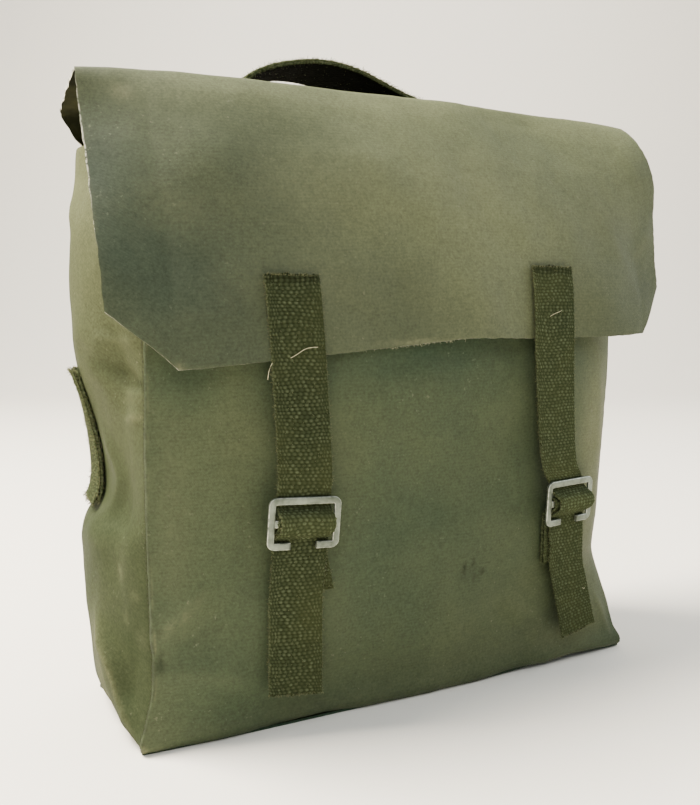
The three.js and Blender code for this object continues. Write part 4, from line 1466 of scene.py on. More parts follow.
@dataclass
class Walls:
    """The front, back, sides and base of the bag."""

    front_columns: int = 146
    front_rows: int = 142
    front_width: float = 340.0
    back_width: float = 338.0
    gusset_depth: float = 118.0
    gusset_columns: int = 66
    gusset_rows: int = 170
    back_columns: int = 80
    back_rows: int = 84
    base_columns: int = 60
    base_rows: int = 26
    foot: float = 0.9
    raised_foot: float = 3.6
    raised_at: float = 122.0
    raised_span: float = 40.0
    fold_height: float = 2.6
    fold_depth: float = 1.4
    left_inset: float = 2.0
    right_inset: float = 2.6
    seam_gap: float = 0.1
    base_fade: float = 0.215
    # Side walls darker towards the foot and lighter towards the top: painted light from above.
    low_side_fade: float = 0.08
    high_side_fade: float = 0.95
    stitch_column: int = 3
    foot_rub: float = 0.3
    foot_rub_rise: float = 2.4
    flap_lap: float = 20.0
    flap_ease: float = 30.0
    back_lifts: tuple[float, float] = (-3.0, 1.4)
    seam_hold: float = 7.0
    paling: float = 2.4
    base_curl: int = 6
    base_clear: float = 0.05
    raised_depth: float = 1 / 3
    front_waves: tuple[Wave, ...] = (Wave(1.1, 130, 5), Wave(0.32, 46, 6))
    front_ripples: tuple[Wave, ...] = (Wave(0.07, 15, 7),)
    back_waves: tuple[Wave, ...] = (Wave(1.0, 110, 15), Wave(0.3, 40, 16))
    gusset_waves: tuple[Wave, ...] = (Wave(0.5, 80, 25), Wave(0.18, 34, 26))
    gusset_ripples: tuple[Wave, ...] = (Wave(0.05, 14, 27),)
    behind_loop: tuple[Bell, ...] = (Bell(23, 168, 24, 48, 0.85),)

    front_creases: tuple[Crease, ...] = (
        # Its pale tint is a painted highlight on the lit side of this fold.
        Crease(-166, 66, -140, 90, 7, 3.2, 0.20),
        Crease(-158, 60, -126, 82, 7, -1.8, 0.0),
        Crease(-165, 58, -162, 47, 2.6, -1.6, 0.0),
        Crease(-166, 74, -163, 68, 2.2, -0.8, 0.0),
        Crease(-160, 48, -112, 34, 9, 2.0, 0.05),
        Crease(56, 50, 88, 24, 7, -1.8, 0.0),
        Crease(66, 56, 104, 34, 8, 1.6, 0.05),
        Crease(110, 66, 152, 30, 9, 2.4, 0.05),
        # Its pale tint is a painted highlight along this fold near the right seam.
        Crease(152, 44, 168, 12, 4, 1.8, 0.30),
        Crease(-60, 204, 60, 210, 9, 0.9, 0.0),
        Crease(-140, 190, -118, 70, 14, 0.7, 0.0),
        Crease(60, 190, 84, 80, 16, 0.6, 0.0),
        Crease(152, 205, 156, 100, 8, 1.0, 0.0),
    )
    front_wear: tuple[Bell, ...] = (
        Bell(-150, 70, 16, 12, 0.08),
        Bell(120, 20, 40, 12, 0.12),
        Bell(-60, 8, 90, 7, 0.12),
        Bell(-174.5, 2, 1.6, 3, 2.0),
        Bell(-156, 140, 10, 60, 0.10),
    )
    # Painted shadow below the flap and below its left corner, painted light on the right side, and other
    # lighter and darker patches.
    front_fade: tuple[Bell, ...] = (
        Bell(0, 236, 160, 34, -0.14),
        Bell(150, 150, 26, 90, 0.36),
        Bell(-140, 170, 40, 60, 0.03),
        Bell(-148, 212, 22, 22, -0.16),
        Bell(-140, 75, 40, 55, -0.06),
        Bell(-116, 165, 18, 70, 0.06),
        Bell(0, 100, 60, 50, -0.03),
    )
    # Real stains, and painted shade in the folds at the lower left (the last three rows).
    front_stain: tuple[Bell, ...] = (
        Bell(37.3, 85.5, 1.3, 2.2, 0.9),
        Bell(30.1, 83.2, 1.4, 3.4, 0.8),
        Bell(45.3, 78.5, 2.0, 1.8, 0.9),
        Bell(39.9, 74.9, 1.5, 3.4, 0.7),
        Bell(29.0, 77.5, 1.3, 2.6, 0.5),
        Bell(36, 79, 8, 6, 0.16),
        Bell(-17.1, 133, 1.6, 1.2, 0.6),
        Bell(-10.7, 128.3, 0.9, 1.5, 0.7),
        Bell(8, 58, 9, 7, 0.16),
        Bell(66, 116, 5, 5, 0.20),
        Bell(-163.5, 52, 2.2, 6, 0.55),
        Bell(-164.5, 70, 1.6, 2.6, 0.4),
        Bell(-142, 62, 10, 8, 0.12),
    )
    left_ridges: tuple[Ridge, ...] = (
        # The first fold's pale tint is partly rubbing, partly a painted highlight along the ridge.
        Ridge(
            (
                Bend(-8, 74), Bend(-18, 62), Bend(-25, 52.5), Bend(-30, 46), Bend(-34, 36.5), Bend(-37, 28),
                Bend(-42, 21), Bend(-48, 14), Bend(-57, 3),
            ), 5.4, 9.0, 26.0, 0.42,
        ),
        Ridge(
            (
                Bend(-4, 184), Bend(-12, 171.5), Bend(-18, 163), Bend(-23.5, 155), Bend(-25, 150),
                Bend(-20.5, 140), Bend(-16, 132), Bend(6, 116),
            ), 2.6, 9.0, 16.0, 0.04,
        ),
        Ridge(
            (Bend(-24, 232), Bend(-30, 231), Bend(-37, 230), Bend(-53, 230), Bend(-61, 231)),
            1.4, 4.0, 6.0, 0.08,
        ),
    )
    left_creases: tuple[Crease, ...] = (
        Crease(-16, 212, -30, 226, 6.0, 1.0, 0.0),
        # Its pale tint is a painted highlight on this fold.
        Crease(-42, 186, -61, 191, 4.0, 1.8, 0.2),
        Crease(38, 316, 4, 290, 5.0, 1.6, 0.2),
        Crease(10, 108, -40, 116, 9.0, 1.0, 0.05),
        Crease(-52, 70, -44, 20, 6.0, -1.0, 0.0),
    )
    left_dents: tuple[Bell, ...] = (
        Bell(-12, 224, 8, 6, 1.6),
        Bell(-25, 217.5, 8, 6, 2.4),
        Bell(-38, 212, 8, 5.5, 2.8),
        Bell(-47, 208.5, 7, 5, 1.8),
        Bell(-20, 16, 18, 12, 2.5),
    )
    left_shelves: tuple[Shelf, ...] = (
        Shelf(-53, 203.5, 10, 8, 4.4),
    )
    # Painted light and shade on the left wall: the lit lower facet, darker hollows and pocket, and paler
    # places and a fold below them.
    left_fade: tuple[Bell, ...] = (
        Bell(-12, 36, 18, 30, 0.50),
        Bell(-30, 216, 18, 7, -0.10),
        Bell(-54, 206, 7, 4, -0.16),
        Bell(-48, 199, 12, 4, 0.08),
        Bell(-54, 188.5, 8, 3, 0.24),
    )
    # Painted shade on the left wall: the dark pocket, the hollows, and the flap's shadow below its corner.
    left_stain: tuple[Bell, ...] = (
        Bell(-56, 206.5, 7, 3.2, 0.55),
        Bell(-34, 214, 12, 5, 0.12),
        Bell(-50, 233.5, 12, 2.6, 0.30),
    )
    left_wear: tuple[Bell, ...] = (
        Bell(-38.5, 100, 2.5, 4, 0.30),
        Bell(-51, 88.5, 3, 3, 0.20),
        Bell(-42, 73.5, 2, 4, 0.18),
        Bell(-54, 64, 5, 6, 0.12),
    )
    right_creases: tuple[Crease, ...] = (
        Crease(30, 62, -30, 26, 6.0, 2.4, 0.12),
        Crease(-20, 214, -40, 200, 6.0, 1.8, 0.1),
        Crease(34, 318, 0, 292, 5.0, 1.5, 0.2),
    )

    def build(self, finishes: Finishes) -> list[bpy.types.Object]:
        """Makes the five panels.

        Args:
            finishes: the pack's finishes.

        Returns:
            The panels.
        """
        outer = [finishes.canvas, finishes.canvas, finishes.inside]
        edges = [finishes.pale_canvas, finishes.pale_canvas, finishes.inside]
        sides = [self.gusset(side) for side in Side]
        pieces = [self.front().build(outer), self.back().build(outer), self.base().build(outer)]
        for sheet in sides:
            pieces.append(sheet.build(edges))
            pieces.append(self.sewing(sheet, finishes))
        return pieces

    def sewing(self, sheet: Sheet, finishes: Finishes) -> bpy.types.Object:
        """Sews the two long edges of a side wall.

        Args:
            sheet: the side wall.
            finishes: the pack's finishes.

        Returns:
            The stitches.
        """
        normals = lattice_normals(sheet.lattice)
        thread = Stitches()
        for column in (self.stitch_column, -1 - self.stitch_column):
            thread.sew(sheet.lattice[:, column], normals[:, column])
        return thread.build(f"{sheet.name}_stitches", "canvas_pale", finishes.stitch)

    def foot_height(self, x: Array) -> Array:
        """Returns the height of the front's lower fold, which lifts off the ground at the right."""
        return self.foot + self.raised_foot * bump((x - self.raised_at) / self.raised_span)

    def tuck(self, height: Array, foot: Array) -> Array:
        """Returns how far a wall turns under at its foot."""
        return self.fold_depth * np.clip(1 - (height - foot) / self.fold_height, 0, 1) ** 2

    def sewn_edges(self, points: Array, across: Array, height: Array, width: float, inward: int,
                   seed: int) -> Array:
        """Rolls a panel's two edges back to their seams.

        Args:
            points: the panel's lattice, changed in place.
            across: shares of its width.
            height: heights.
            width: its width.
            inward: the way into the bag along Y.
            seed: picks the unevenness of the left edge; the right one takes the next.

        Returns:
            The lift, the pale tint of rubbing and painted highlight, and the dark tint of stains and painted
            shadow.
        """
        marks = np.zeros((3,) + across.shape)
        edges = ((across * width, self.left_inset), ((1 - across) * width, self.right_inset))
        for index, (distance, inset) in enumerate(edges):
            points[..., 1] += inward * rolled_edge(distance, inset - self.seam_gap)
            marks += SEAM.ridge(distance, height, seed + index)
        return marks

    def front(self) -> Sheet:
        """Shapes the front panel."""
        shares = panel_shares(self.front_width, self.front_columns)
        across, up = np.meshgrid(shares, np.linspace(0, 1, self.front_rows + 1))
        foot = self.foot_height((across - 0.5) * self.front_width)
        height = lerp(foot, MOUTH_HEIGHT, up)
        points = SHAPE.front_point(across, height)
        points[..., 1] += self.tuck(height, foot)
        x = points[..., 0]
        lift, wear, stain = self.sewn_edges(points, across, height, self.front_width, 1, 3)
        fold_lift, fold_wear_and_highlight = folds(x, height, self.front_creases)
        lift += fold_lift + SHAPE.seam_fade(across) * uneven(x, height, self.front_waves)
        lift += uneven(x, height, self.front_ripples)
        wear += fold_wear_and_highlight + bells(x, height, self.front_wear)
        wear += self.foot_rub * bump((height - foot) / self.foot_rub_rise) * patchy(x, height, 30, 8)
        stain += bells(x, height, self.front_stain)
        points += lattice_normals(points) * lift[..., None]
        fade = self.base_fade + bells(x, height, self.front_fade)
        return Sheet(
            "cloth_front", ("front_panel",), points, "canvas", Hold.STRETCHED,
            ("cloth_side_left", "cloth_side_right"),
            {"fade": fade, "wear": np.clip(wear, 0, 1), "stain": stain},
        )

    def back(self) -> Sheet:
        """Shapes the back panel."""
        shares = panel_shares(self.back_width, self.back_columns)[::-1]
        across, up = np.meshgrid(shares, np.linspace(0, 1, self.back_rows + 1))
        height = lerp(self.foot, MOUTH_HEIGHT, up)
        points = SHAPE.back_point(across, height)
        points[..., 1] -= self.tuck(height, self.foot)
        x = points[..., 0]
        lift, wear, stain = self.sewn_edges(points, across, height, self.back_width, -1, 13)
        lift += SHAPE.seam_fade(across) * uneven(x, height, self.back_waves)
        under_flap = np.clip((MOUTH_HEIGHT - self.flap_lap - height) / self.flap_ease, 0, 1)
        points += lattice_normals(points) * (np.clip(lift, *self.back_lifts) * under_flap)[..., None]
        fade = np.full(x.shape, self.base_fade)
        return Sheet(
            "cloth_back", ("back_panel",), points, "canvas", Hold.STRETCHED,
            ("cloth_side_left", "cloth_side_right"),
            {"fade": fade, "wear": np.clip(wear, 0, 1), "stain": stain},
        )

    def gusset(self, side: Side) -> Sheet:
        """Shapes one side wall."""
        on_left = side is Side.LEFT
        shares = panel_shares(self.gusset_depth, self.gusset_columns)
        if on_left:
            shares = shares[::-1]
        across, up = np.meshgrid(shares, np.linspace(0, 1, self.gusset_rows + 1))
        height = lerp(self.foot, MOUTH_HEIGHT, up)
        points = SHAPE.gusset_point(side, across, height, self.left_inset if on_left else self.right_inset)
        points[..., 0] -= side.value * self.tuck(height, self.foot)
        y = points[..., 1]
        seams = ((across * self.gusset_depth, 23), ((1 - across) * self.gusset_depth, 25))
        lift, wear = folds(y, height, self.left_creases if on_left else self.right_creases)
        if on_left:
            ridge_lift, ridge_wear_and_highlight = ridges(y, height, self.left_ridges)
            lift += ridge_lift - shelved(y, height, self.left_shelves) - bells(y, height, self.left_dents)
            wear += ridge_wear_and_highlight + bells(y, height, self.left_wear)
        lift *= np.clip(np.minimum(seams[0][0], seams[1][0]) / self.seam_hold, 0, 1)
        for distance, seed in seams:
            lift += SEAM.sunk(distance, height, seed + side.value)
        calm = SHAPE.seam_fade(across) * (1 - bells(y, height, self.behind_loop))
        lift += calm * uneven(y, height, self.gusset_waves) + uneven(y, height, self.gusset_ripples)
        points += lattice_normals(points) * lift[..., None]
        # Painted light: the side walls grow lighter towards their tops.
        fade = lerp(self.low_side_fade, self.high_side_fade, (height / MOUTH_HEIGHT) ** self.paling)
        stain = np.zeros(y.shape)
        if on_left:
            fade += bells(y, height, self.left_fade)
            stain += bells(y, height, self.left_stain)
        return Sheet(
            f"cloth_side_{side.word}", (f"side_gusset_{side.word}",), points, "canvas_pale", Hold.STRETCHED,
            ("cloth_front", "cloth_back"), {"fade": fade, "wear": np.clip(wear, 0, 1), "stain": stain},
        )

    def base(self) -> Sheet:
        """Shapes the base between the feet of the walls."""
        columns = np.linspace(1, 0, self.base_columns + 1)
        across, deep = np.meshgrid(columns, np.linspace(0, 1, self.base_rows + 1))
        low = np.zeros(across.shape)
        points = lerp(SHAPE.front_point(across, low), SHAPE.back_point(across, low), deep[..., None])
        left_bow, right_bow = (SHAPE.bows.at(side.word, low) * SHAPE.bow_share(deep) for side in Side)
        points[..., 0] += right_bow * across ** self.base_curl - left_bow * (1 - across) ** self.base_curl
        points[..., 1] += lerp(self.fold_depth, -self.fold_depth, deep)
        raised = self.foot_height(points[..., 0]) - self.foot
        points[..., 2] = self.base_clear + raised * np.clip(1 - deep / self.raised_depth, 0, 1) ** 2
        return Sheet(
            "cloth_base", ("base_panel",), points, "canvas", Hold.STRETCHED,
            ("cloth_front", "cloth_back"), {},
        )


@dataclass
class Flap:
    """The lid: sewn on the back, over the rear fold and the crest, down the front to its cut edge."""

    columns: int = 166
    spacing: float = 1.9
    lift_from_back: float = 1.9
    edge_jag: float = 0.15
    torn_jag: float = 0.16
    torn_from: float = 14.0
    base_fray: float = 0.16
    thread_count: int = 44
    thread_place: tuple[float, float] = (-8.0, 14.0)
    thread_seed: int = 44
    thread_reach: tuple[float, float] = (0.4, 1.5)
    thread_sway: tuple[float, float] = (0.0, 0.6)
    thread_out: tuple[float, float] = (0.2, 0.2)
    thread_curl: float = 0.3
    thread_root: tuple[float, float, float] = (0.0, 0.5, 0.3)
    thread_radii: tuple[float, float, float] = (0.10, 0.08, 0.05)
    side_jag_length: float = 7.0
    hem_jag_length: float = 8.0
    crest_y: float = -8.0
    crest_ease: float = 20.0
    edge_rub: float = 0.10
    edge_rub_width: float = 1.0
    bare_width: float = 0.8
    waves: tuple[Wave, ...] = (Wave(0.9, 120, 31), Wave(0.28, 42, 32))
    ripples: tuple[Wave, ...] = (Wave(0.05, 14, 33),)
    corners: tuple[float, ...] = (0.090, 0.94, 0.97)

    creases: tuple[Crease, ...] = (
        Crease(-180, 300, -120, 330, 12, 0.8, 0.04),
        Crease(30, 226, 52, 262, 10, 1.2, 0.05),
        Crease(180, 250, 150, 300, 12, 1.2, 0.05),
        Crease(196, 300, 176, 280, 7, 1.4, 0.12),
        Crease(-170, 236, -120, 250, 12, 0.9, 0.05),
        Crease(-20, 352, 90, 340, 18, 0.8, 0.04),
    )
    curls: tuple[Bell, ...] = (
        Bell(-162, 212, 34, 26, 3.4),
        Bell(-110, 216, 30, 20, 1.6),
        Bell(20, 224, 40, 16, 1.6),
        Bell(176, 236, 20, 18, 1.8),
    )
    base_fade: float = 0.27
    # Lighter and darker patches of the flap; the first, a narrow band along the crest, is a painted
    # highlight.
    fades: tuple[Bell, ...] = (
        Bell(40, 378, 260, 18, 0.28),
        Bell(40, 300, 100, 70, 0.42),
        Bell(-152, 266, 62, 66, -0.25),
        Bell(170, 340, 40, 50, 0.20),
        Bell(-188, 320, 24, 70, -0.15),
        Bell(-16, 262, 28, 34, -0.13),
    )
    bared: tuple[Bell, ...] = (
        Bell(-194, 336, 30, 62, 1.0),
    )
    frayed: tuple[Bell, ...] = (
        Bell(-6, 228, 24, 8, 1.0),
        Bell(-190, 345, 14, 60, 4.0),
        Bell(-155.5, 215, 4, 4, 0.2),
    )
    rubbed: tuple[Bell, ...] = (
        Bell(-168, 366, 6, 5, 0.6),
        Bell(-6, 227, 22, 1.6, 0.7),
        Bell(-154.5, 215, 3, 3, 0.8),
        Bell(-150, 300, 30, 14, 0.16),
        Bell(-60, 320, 46, 22, 0.14),
        Bell(40, 330, 60, 26, 0.16),
        Bell(150, 310, 30, 30, 0.14),
        Bell(-100, 262, 40, 14, 0.12),
    )

    def keys(self) -> Array:
        """Returns the flap's drawn rows, from the rear hem to the cut edge."""
        across = np.linspace(1, 0, self.columns + 1)
        for corner in self.corners:
            across[np.argmin(np.abs(across - corner))] = corner
        rows = []
        for hem in FLAP_HEMS:
            level = np.full(across.shape, min(hem.height, MOUTH_HEIGHT))
            points = SHAPE.back_point(across, level)
            points[:, 0] = lerp(hem.left_x, hem.right_x, across)
            points[:, 1] += self.lift_from_back
            points[:, 2] = hem.height
            rows.append(points)
        for step in range(len(FLAP_REARS)):
            rows.append(SHAPE.flap_rear(across, np.full(across.shape, float(step))))
        for drop in FLAP_DROPS:
            rows.append(SHAPE.flap_front(across, np.full(across.shape, float(drop))))
        return np.array(rows)

    def build(self, finishes: Finishes) -> bpy.types.Object:
        """Makes the flap.

        Args:
            finishes: the pack's finishes.

        Returns:
            The object.
        """
        points = smooth_rows(self.keys(), self.spacing)
        length = len(points) * self.spacing
        x = points[..., 0]
        height = points[..., 2]
        in_front = np.clip((self.crest_y - points[..., 1]) / self.crest_ease, 0, 1)
        along = np.linspace(0, length, len(points))[:, None] + 0 * x
        from_left = x - x.min(axis=1, keepdims=True)
        from_edge = np.minimum(from_left, x.max(axis=1, keepdims=True) - x)
        edge = np.minimum(from_edge, length - along)
        lift, wear = folds(x, height, self.creases)
        lift = (lift + bells(x, height, self.curls) + uneven(x, along, self.waves)) * in_front
        lift += uneven(x, along, self.ripples)
        wear = (wear + bells(x, height, self.rubbed)) * in_front
        wear += self.edge_rub * bump(edge / self.edge_rub_width) * patchy(x, along, 22, 34, 0.4)
        points += lattice_normals(points) * lift[..., None]
        self.fray_edges(points, along)
        tints = {
            "fade": self.base_fade + bells(x, height, self.fades),
            "wear": np.clip(wear, 0, 1),
            "fray": self.base_fray + bells(x, height, self.frayed),
            "bare": bells(x, height, self.bared) * bump(from_left / self.bare_width),
        }
        sheet = Sheet(
            "cloth_flap", ("flap",), points, "canvas", Hold.DRAPED, ("cloth_front", "cloth_back"), tints,
        )
        self.hem_threads(points[-1], finishes)
        return sheet.build([finishes.flap_canvas, finishes.cut_edge, finishes.inside])

    def hem_threads(self, hem: Array, finishes: Finishes) -> bpy.types.Object:
        """Leaves short bare threads where the cut edge has frayed.

        Args:
            hem: the flap's cut edge.
            finishes: the pack's finishes.

        Returns:
            The threads.
        """
        random = np.random.default_rng(self.thread_seed)
        order = np.argsort(hem[:, 0])
        paths = []
        for _ in range(self.thread_count):
            x = random.normal(*self.thread_place)
            root = np.array([np.interp(x, hem[order, 0], hem[order, axis]) for axis in range(3)])
            reach = random.uniform(*self.thread_reach)
            sway = random.normal(*self.thread_sway)
            out = random.normal(*self.thread_out)
            fall = np.array([sway, out, -1.0]) * reach
            tip = root + fall + random.normal(0, self.thread_curl, 3)
            paths.append(np.array([root + self.thread_root, root + fall / 2, tip]))
        radii = [np.array(self.thread_radii)] * len(paths)
        threads = joined_tubes("cloth_flap_threads", paths, radii, 3, finishes.loose_thread)
        return threads

    def fray_edges(self, points: Array, along: Array) -> None:
        """Makes the knife-cut edges slightly uneven, and torn behind the crest.

        Args:
            points: the flap's lattice, changed in place.
            along: distance from the hem.
        """
        for column, seed in ((0, 41), (-1, 42)):
            torn = np.where(points[:, column, 1] > self.torn_from, self.torn_jag, 0.0)
            jag = rumple(along[:, column], 0, self.side_jag_length, seed)
            points[:, column, 0] += (self.edge_jag + torn) * jag
        points[-1, :, 2] += self.edge_jag * rumple(points[-1, :, 0], 0, self.hem_jag_length, 43)


@dataclass(frozen=True)
class Weave:
    """The coarse plain weave of the webbing, in millimetres, tighter at its two selvedges."""

    column_pitch: float = 3.25
    selvedge_pitch: float = 1.9
    selvedge: float = 5.6
    row_pitch: float = 2.1
    height: float = 0.6
    sunk: float = 0.6
    half_column: float = 0.48
    half_row: float = 0.56
    plump: float = 0.6
    uneven: float = 0.46
    shift: float = 0.42
    weft: float = 0.28
    selvedge_crown: float = 0.72
    selvedge_beat: float = 0.55
    hash_row: float = 12.9898
    hash_column: float = 78.233
    hash_scale: float = 43758.5453

    def chance(self, row: Array, column: Array) -> Array:
        """Returns a number from 0 to 1 for each crossing, the same in every run."""
        mixed = np.sin(row * self.hash_row + column * self.hash_column) * self.hash_scale
        return mixed - np.floor(mixed)

    def crowns(self, across: Array, along: Array) -> Array:
        """Returns how high the yarn stands at each place, from 0 in a pit to about 1.

        Args:
            across: distance across the webbing from its middle.
            along: distance along it.
        """
        row = np.floor(along / self.row_pitch)
        in_row = along / self.row_pitch - row - 0.5
        middle = HALF_WEB - self.selvedge
        inner = np.clip(across, -middle, middle)
        place = inner / self.column_pitch + (across - inner) / self.selvedge_pitch
        stagger = place + np.mod(row, 2) / 2 + self.shift * (self.chance(row, 0) - 0.5)
        column = np.floor(stagger)
        in_column = stagger - column - 0.5
        reach = (in_column / self.half_column) ** 2 + (in_row / self.half_row) ** 2
        crown = np.clip(1 - reach, 0, 1) ** self.plump * (1 - self.uneven * self.chance(row, column))
        weft = self.weft * np.clip(1 - (in_row / self.half_row) ** 2, 0, 1)
        return np.maximum(crown, weft)


WEAVE = Weave()


@dataclass
class Webbing:
    """A length of webbing along rows of three points, with woven faces and fuzzy edges."""

    name: str
    keys: Array
    spacing: float = 0.5
    face_steps: int = 62
    back_steps: int = 16
    edge_steps: int = 3
    fibres: int = 1500
    fibre_radius: float = 0.10
    fibre_taper: tuple[float, ...] = (1.0, 0.8, 0.45)
    fibre_reach: float = 1.9
    least_reach: float = 0.5
    face_reach: float = 0.45
    fibre_root: float = 0.2
    fibre_rise: tuple[float, float] = (0.3, 1.0)
    fibre_lean: tuple[float, float] = (0.8, 0.5)
    end_lean: float = 1.2
    fibre_curl: float = 0.3
    seed: int = 1
    wander: Wave = Wave(0.4, 16, 90)
    sway: Wave = Wave(0.3, 22, 91)
    plump: Wave = Wave(0.3, 3.2, 92)
    end_jag: Wave = Wave(0.55, 3.4, 70)
    tone: float = 1.0
    edge_tone: float = 0.95
    sewn_shade: float = 0.0
    sewn_length: float = 5.0
    rubbed_at: float = 0.0
    rubbed: float = 0.0
    rubbed_length: float = 6.0

    def __post_init__(self) -> None:
        """Spaces the rows and finds the webbing's three directions."""
        self.rows = smooth_rows(self.keys, self.spacing)
        left, middle, right = (self.rows[:, column] for column in range(3))
        self.along = unit(np.gradient(middle, axis=0))
        self.across = unit(right - left)
        self.out = unit(np.cross(self.along, self.across))

    def length(self) -> float:
        """Returns the webbing's length in metres."""
        return steps_along(self.rows[:, 1]).sum() * MM

    def section(self) -> tuple[Array, Array]:
        """Returns the outline of the cut webbing and its outward directions, as (across, out)."""
        half = WEB_WALL / 2
        flat = HALF_WEB - half
        turns = np.linspace(math.pi / 2, -math.pi / 2, self.edge_steps + 2)[1:-1]
        face = np.linspace(-flat, flat, self.face_steps)
        back = np.linspace(flat, -flat, self.back_steps)
        right_edge = np.stack([np.cos(turns), np.sin(turns)], axis=-1)
        ways = np.concatenate((
            np.tile([0.0, 1.0], (len(face), 1)), right_edge,
            np.tile([0.0, -1.0], (len(back), 1)), -right_edge,
        ))
        middles = np.concatenate((face, np.full(len(turns), flat), back, np.full(len(turns), -flat)))
        outline = half * ways
        outline[:, 0] += middles
        return outline, ways

    def rumpled(self, first: Array, second: Array, wave: Wave) -> Array:
        """Returns unevenness of the webbing's own."""
        return wave.height * rumple(first, second, wave.length, self.seed + wave.seed)

    def surface(self) -> tuple[Array, Array, Array]:
        """Returns the woven surface: its points, its outward ways and the yarns' height."""
        outline, ways = self.section()
        left, middle, right = (self.rows[:, None, column] for column in range(3))
        share = outline[None, :, :1] / HALF_WEB
        base = left * share * (share - 1) / 2 + middle * (1 - share ** 2) + right * share * (share + 1) / 2
        run = np.arange(len(self.rows))[:, None] * self.spacing
        place = outline[None, :, 0]
        flip = np.where(outline[None, :, 1] < 0, WEAVE.row_pitch, 0.0)
        sway = self.rumpled(run, place, self.sway)
        crown = WEAVE.crowns(place + self.rumpled(run, place, self.wander), run + flip + sway)
        plump = 1 + self.rumpled(run, outline[None, :, 1], self.plump)
        beat = 1 + WEAVE.selvedge_beat * np.sin(2 * math.pi * (run + 2 * sway) / WEAVE.row_pitch)
        crown = np.maximum(crown, WEAVE.selvedge_crown * np.abs(ways[None, :, 0]) * plump * beat)
        swell = WEAVE.height * (crown - WEAVE.sunk)
        facing = self.across[:, None] * ways[None, :, :1] + self.out[:, None] * ways[None, :, 1:]
        points = base + self.out[:, None] * outline[None, :, 1:] + facing * swell[..., None]
        jag = self.rumpled(place[0], 0, self.end_jag)[:, None]
        points[0] -= self.along[0] * jag
        points[-1] += self.along[-1] * jag
        return points, facing, crown

    def tones(self, run: Array) -> Array:
        """Returns how light the webbing is: darker over its first few millimetres as painted shade where the
        strap's end turns under, paler where it is rubbed.

        Args:
            run: distance along the webbing.

        Returns:
            One row of factors for each distance, over the outline.
        """
        _, ways = self.section()
        face = lerp(self.tone, self.edge_tone, np.abs(ways[:, 0]))
        sewn = self.sewn_shade * np.exp(-((run / self.sewn_length) ** 4))
        rub = self.rubbed * bump((run - self.rubbed_at) / self.rubbed_length)
        return face[None, :] * (1 - sewn + rub)[:, None]

    def on_face(self, lie: Lie) -> Array:
        """Returns a point over the webbing's face, given by place along X and height."""
        row = int(np.argmin(np.abs(self.rows[:, 1, 2] - lie.height)))
        _, middle, right = self.rows[row]
        share = (lie.x - middle[0]) / (right[0] - middle[0])
        return lerp(middle, right, share) + self.out[row] * (WEB_WALL / 2 + lie.lift)

    def shell(self) -> bmesh.types.BMesh:
        """Wraps a plain grid round the woven surface and closes its seam and ends."""
        points, _, crown = self.surface()
        tone = self.tones(np.arange(len(points)) * self.spacing)
        points, crown, tone = (
            np.concatenate((part, part[:, :1]), axis=1) for part in (points, crown, tone)
        )
        ring, run = np.meshgrid(*(np.arange(count) * self.spacing for count in crown.shape[::-1]))
        tube = lattice_bmesh(points, np.stack([ring, run], axis=-1), {"weave": crown, "tone": tone})
        close_tube(tube)
        return tube

    def fuzz(self) -> tuple[list[Array], list[Array]]:
        """Returns short stray fibres, most of them along the edges and the cut ends."""
        points, facing, _ = self.surface()
        random = np.random.default_rng(self.seed)
        paths = []
        count_rows, count_ring = points.shape[:2]
        edges = [index for index in range(count_ring) if abs(facing[0, index] @ self.across[0]) > 0.5]
        for fibre in range(self.fibres):
            row = int(random.integers(0, count_rows))
            on_edge = fibre % 3 > 0
            ring = int(random.choice(edges)) if on_edge else int(random.integers(0, self.face_steps))
            if fibre % 5 == 0:
                row = int(random.choice([0, 1, count_rows - 2, count_rows - 1]))
                ring = int(random.integers(0, count_ring))
            lean = random.normal(0, self.fibre_lean[0]) * self.along[row]
            lean += random.normal(0, self.fibre_lean[1]) * self.across[row]
            end = int(row > count_rows - 3) - int(row < 2)
            lean += self.along[row] * (self.end_lean * end)
            way = unit(facing[row, ring] * random.uniform(*self.fibre_rise) + lean)
            reach = random.uniform(self.least_reach, self.fibre_reach)
            reach *= 1.0 if on_edge else self.face_reach
            curl = random.normal(0, self.fibre_curl, 3)
            root = points[row, ring]
            tip = root + way * reach + curl
            paths.append(np.array([root - way * self.fibre_root, root + way * reach / 2, tip]))
        return paths, [self.fibre_radius * np.array(self.fibre_taper)] * len(paths)


@dataclass
class Stitches:
    """Rows of sewing thread that dip in and out of the cloth."""

    pitch: float = 2.6
    length: float = 1.7
    radius: float = 0.17
    sunk: float = 0.16
    proud: float = 0.08
    spots: tuple[float, ...] = (0.0, 0.3, 0.7, 1.0)

    def __post_init__(self) -> None:
        """Starts with no thread."""
        self.paths: list[Array] = []

    def sew(self, line: Array, outward: Array) -> None:
        """Adds one row of stitches.

        Args:
            line: points along the row in drawing millimetres.
            outward: the cloth's outward way at each.
        """
        run = np.concatenate(([0.0], np.cumsum(steps_along(line))))
        lifts = np.array([-self.sunk, self.proud, self.proud, -self.sunk])
        for begin in np.arange(self.pitch / 2, run[-1] - self.length, self.pitch):
            spots = begin + self.length * np.array(self.spots)
            path, ways = (
                np.stack([np.interp(spots, run, part[:, axis]) for axis in range(3)], axis=-1)
                for part in (line, outward)
            )
            self.paths.append(path + ways * lifts[:, None])

    def build(self, name: str, slot: str, material: bpy.types.Material) -> bpy.types.Object:
        """Makes every row as one joined mesh."""
        radii = [np.full(len(self.spots), self.radius)] * len(self.paths)
        thread = joined_tubes(name, self.paths, radii, 4, material)
        return thread


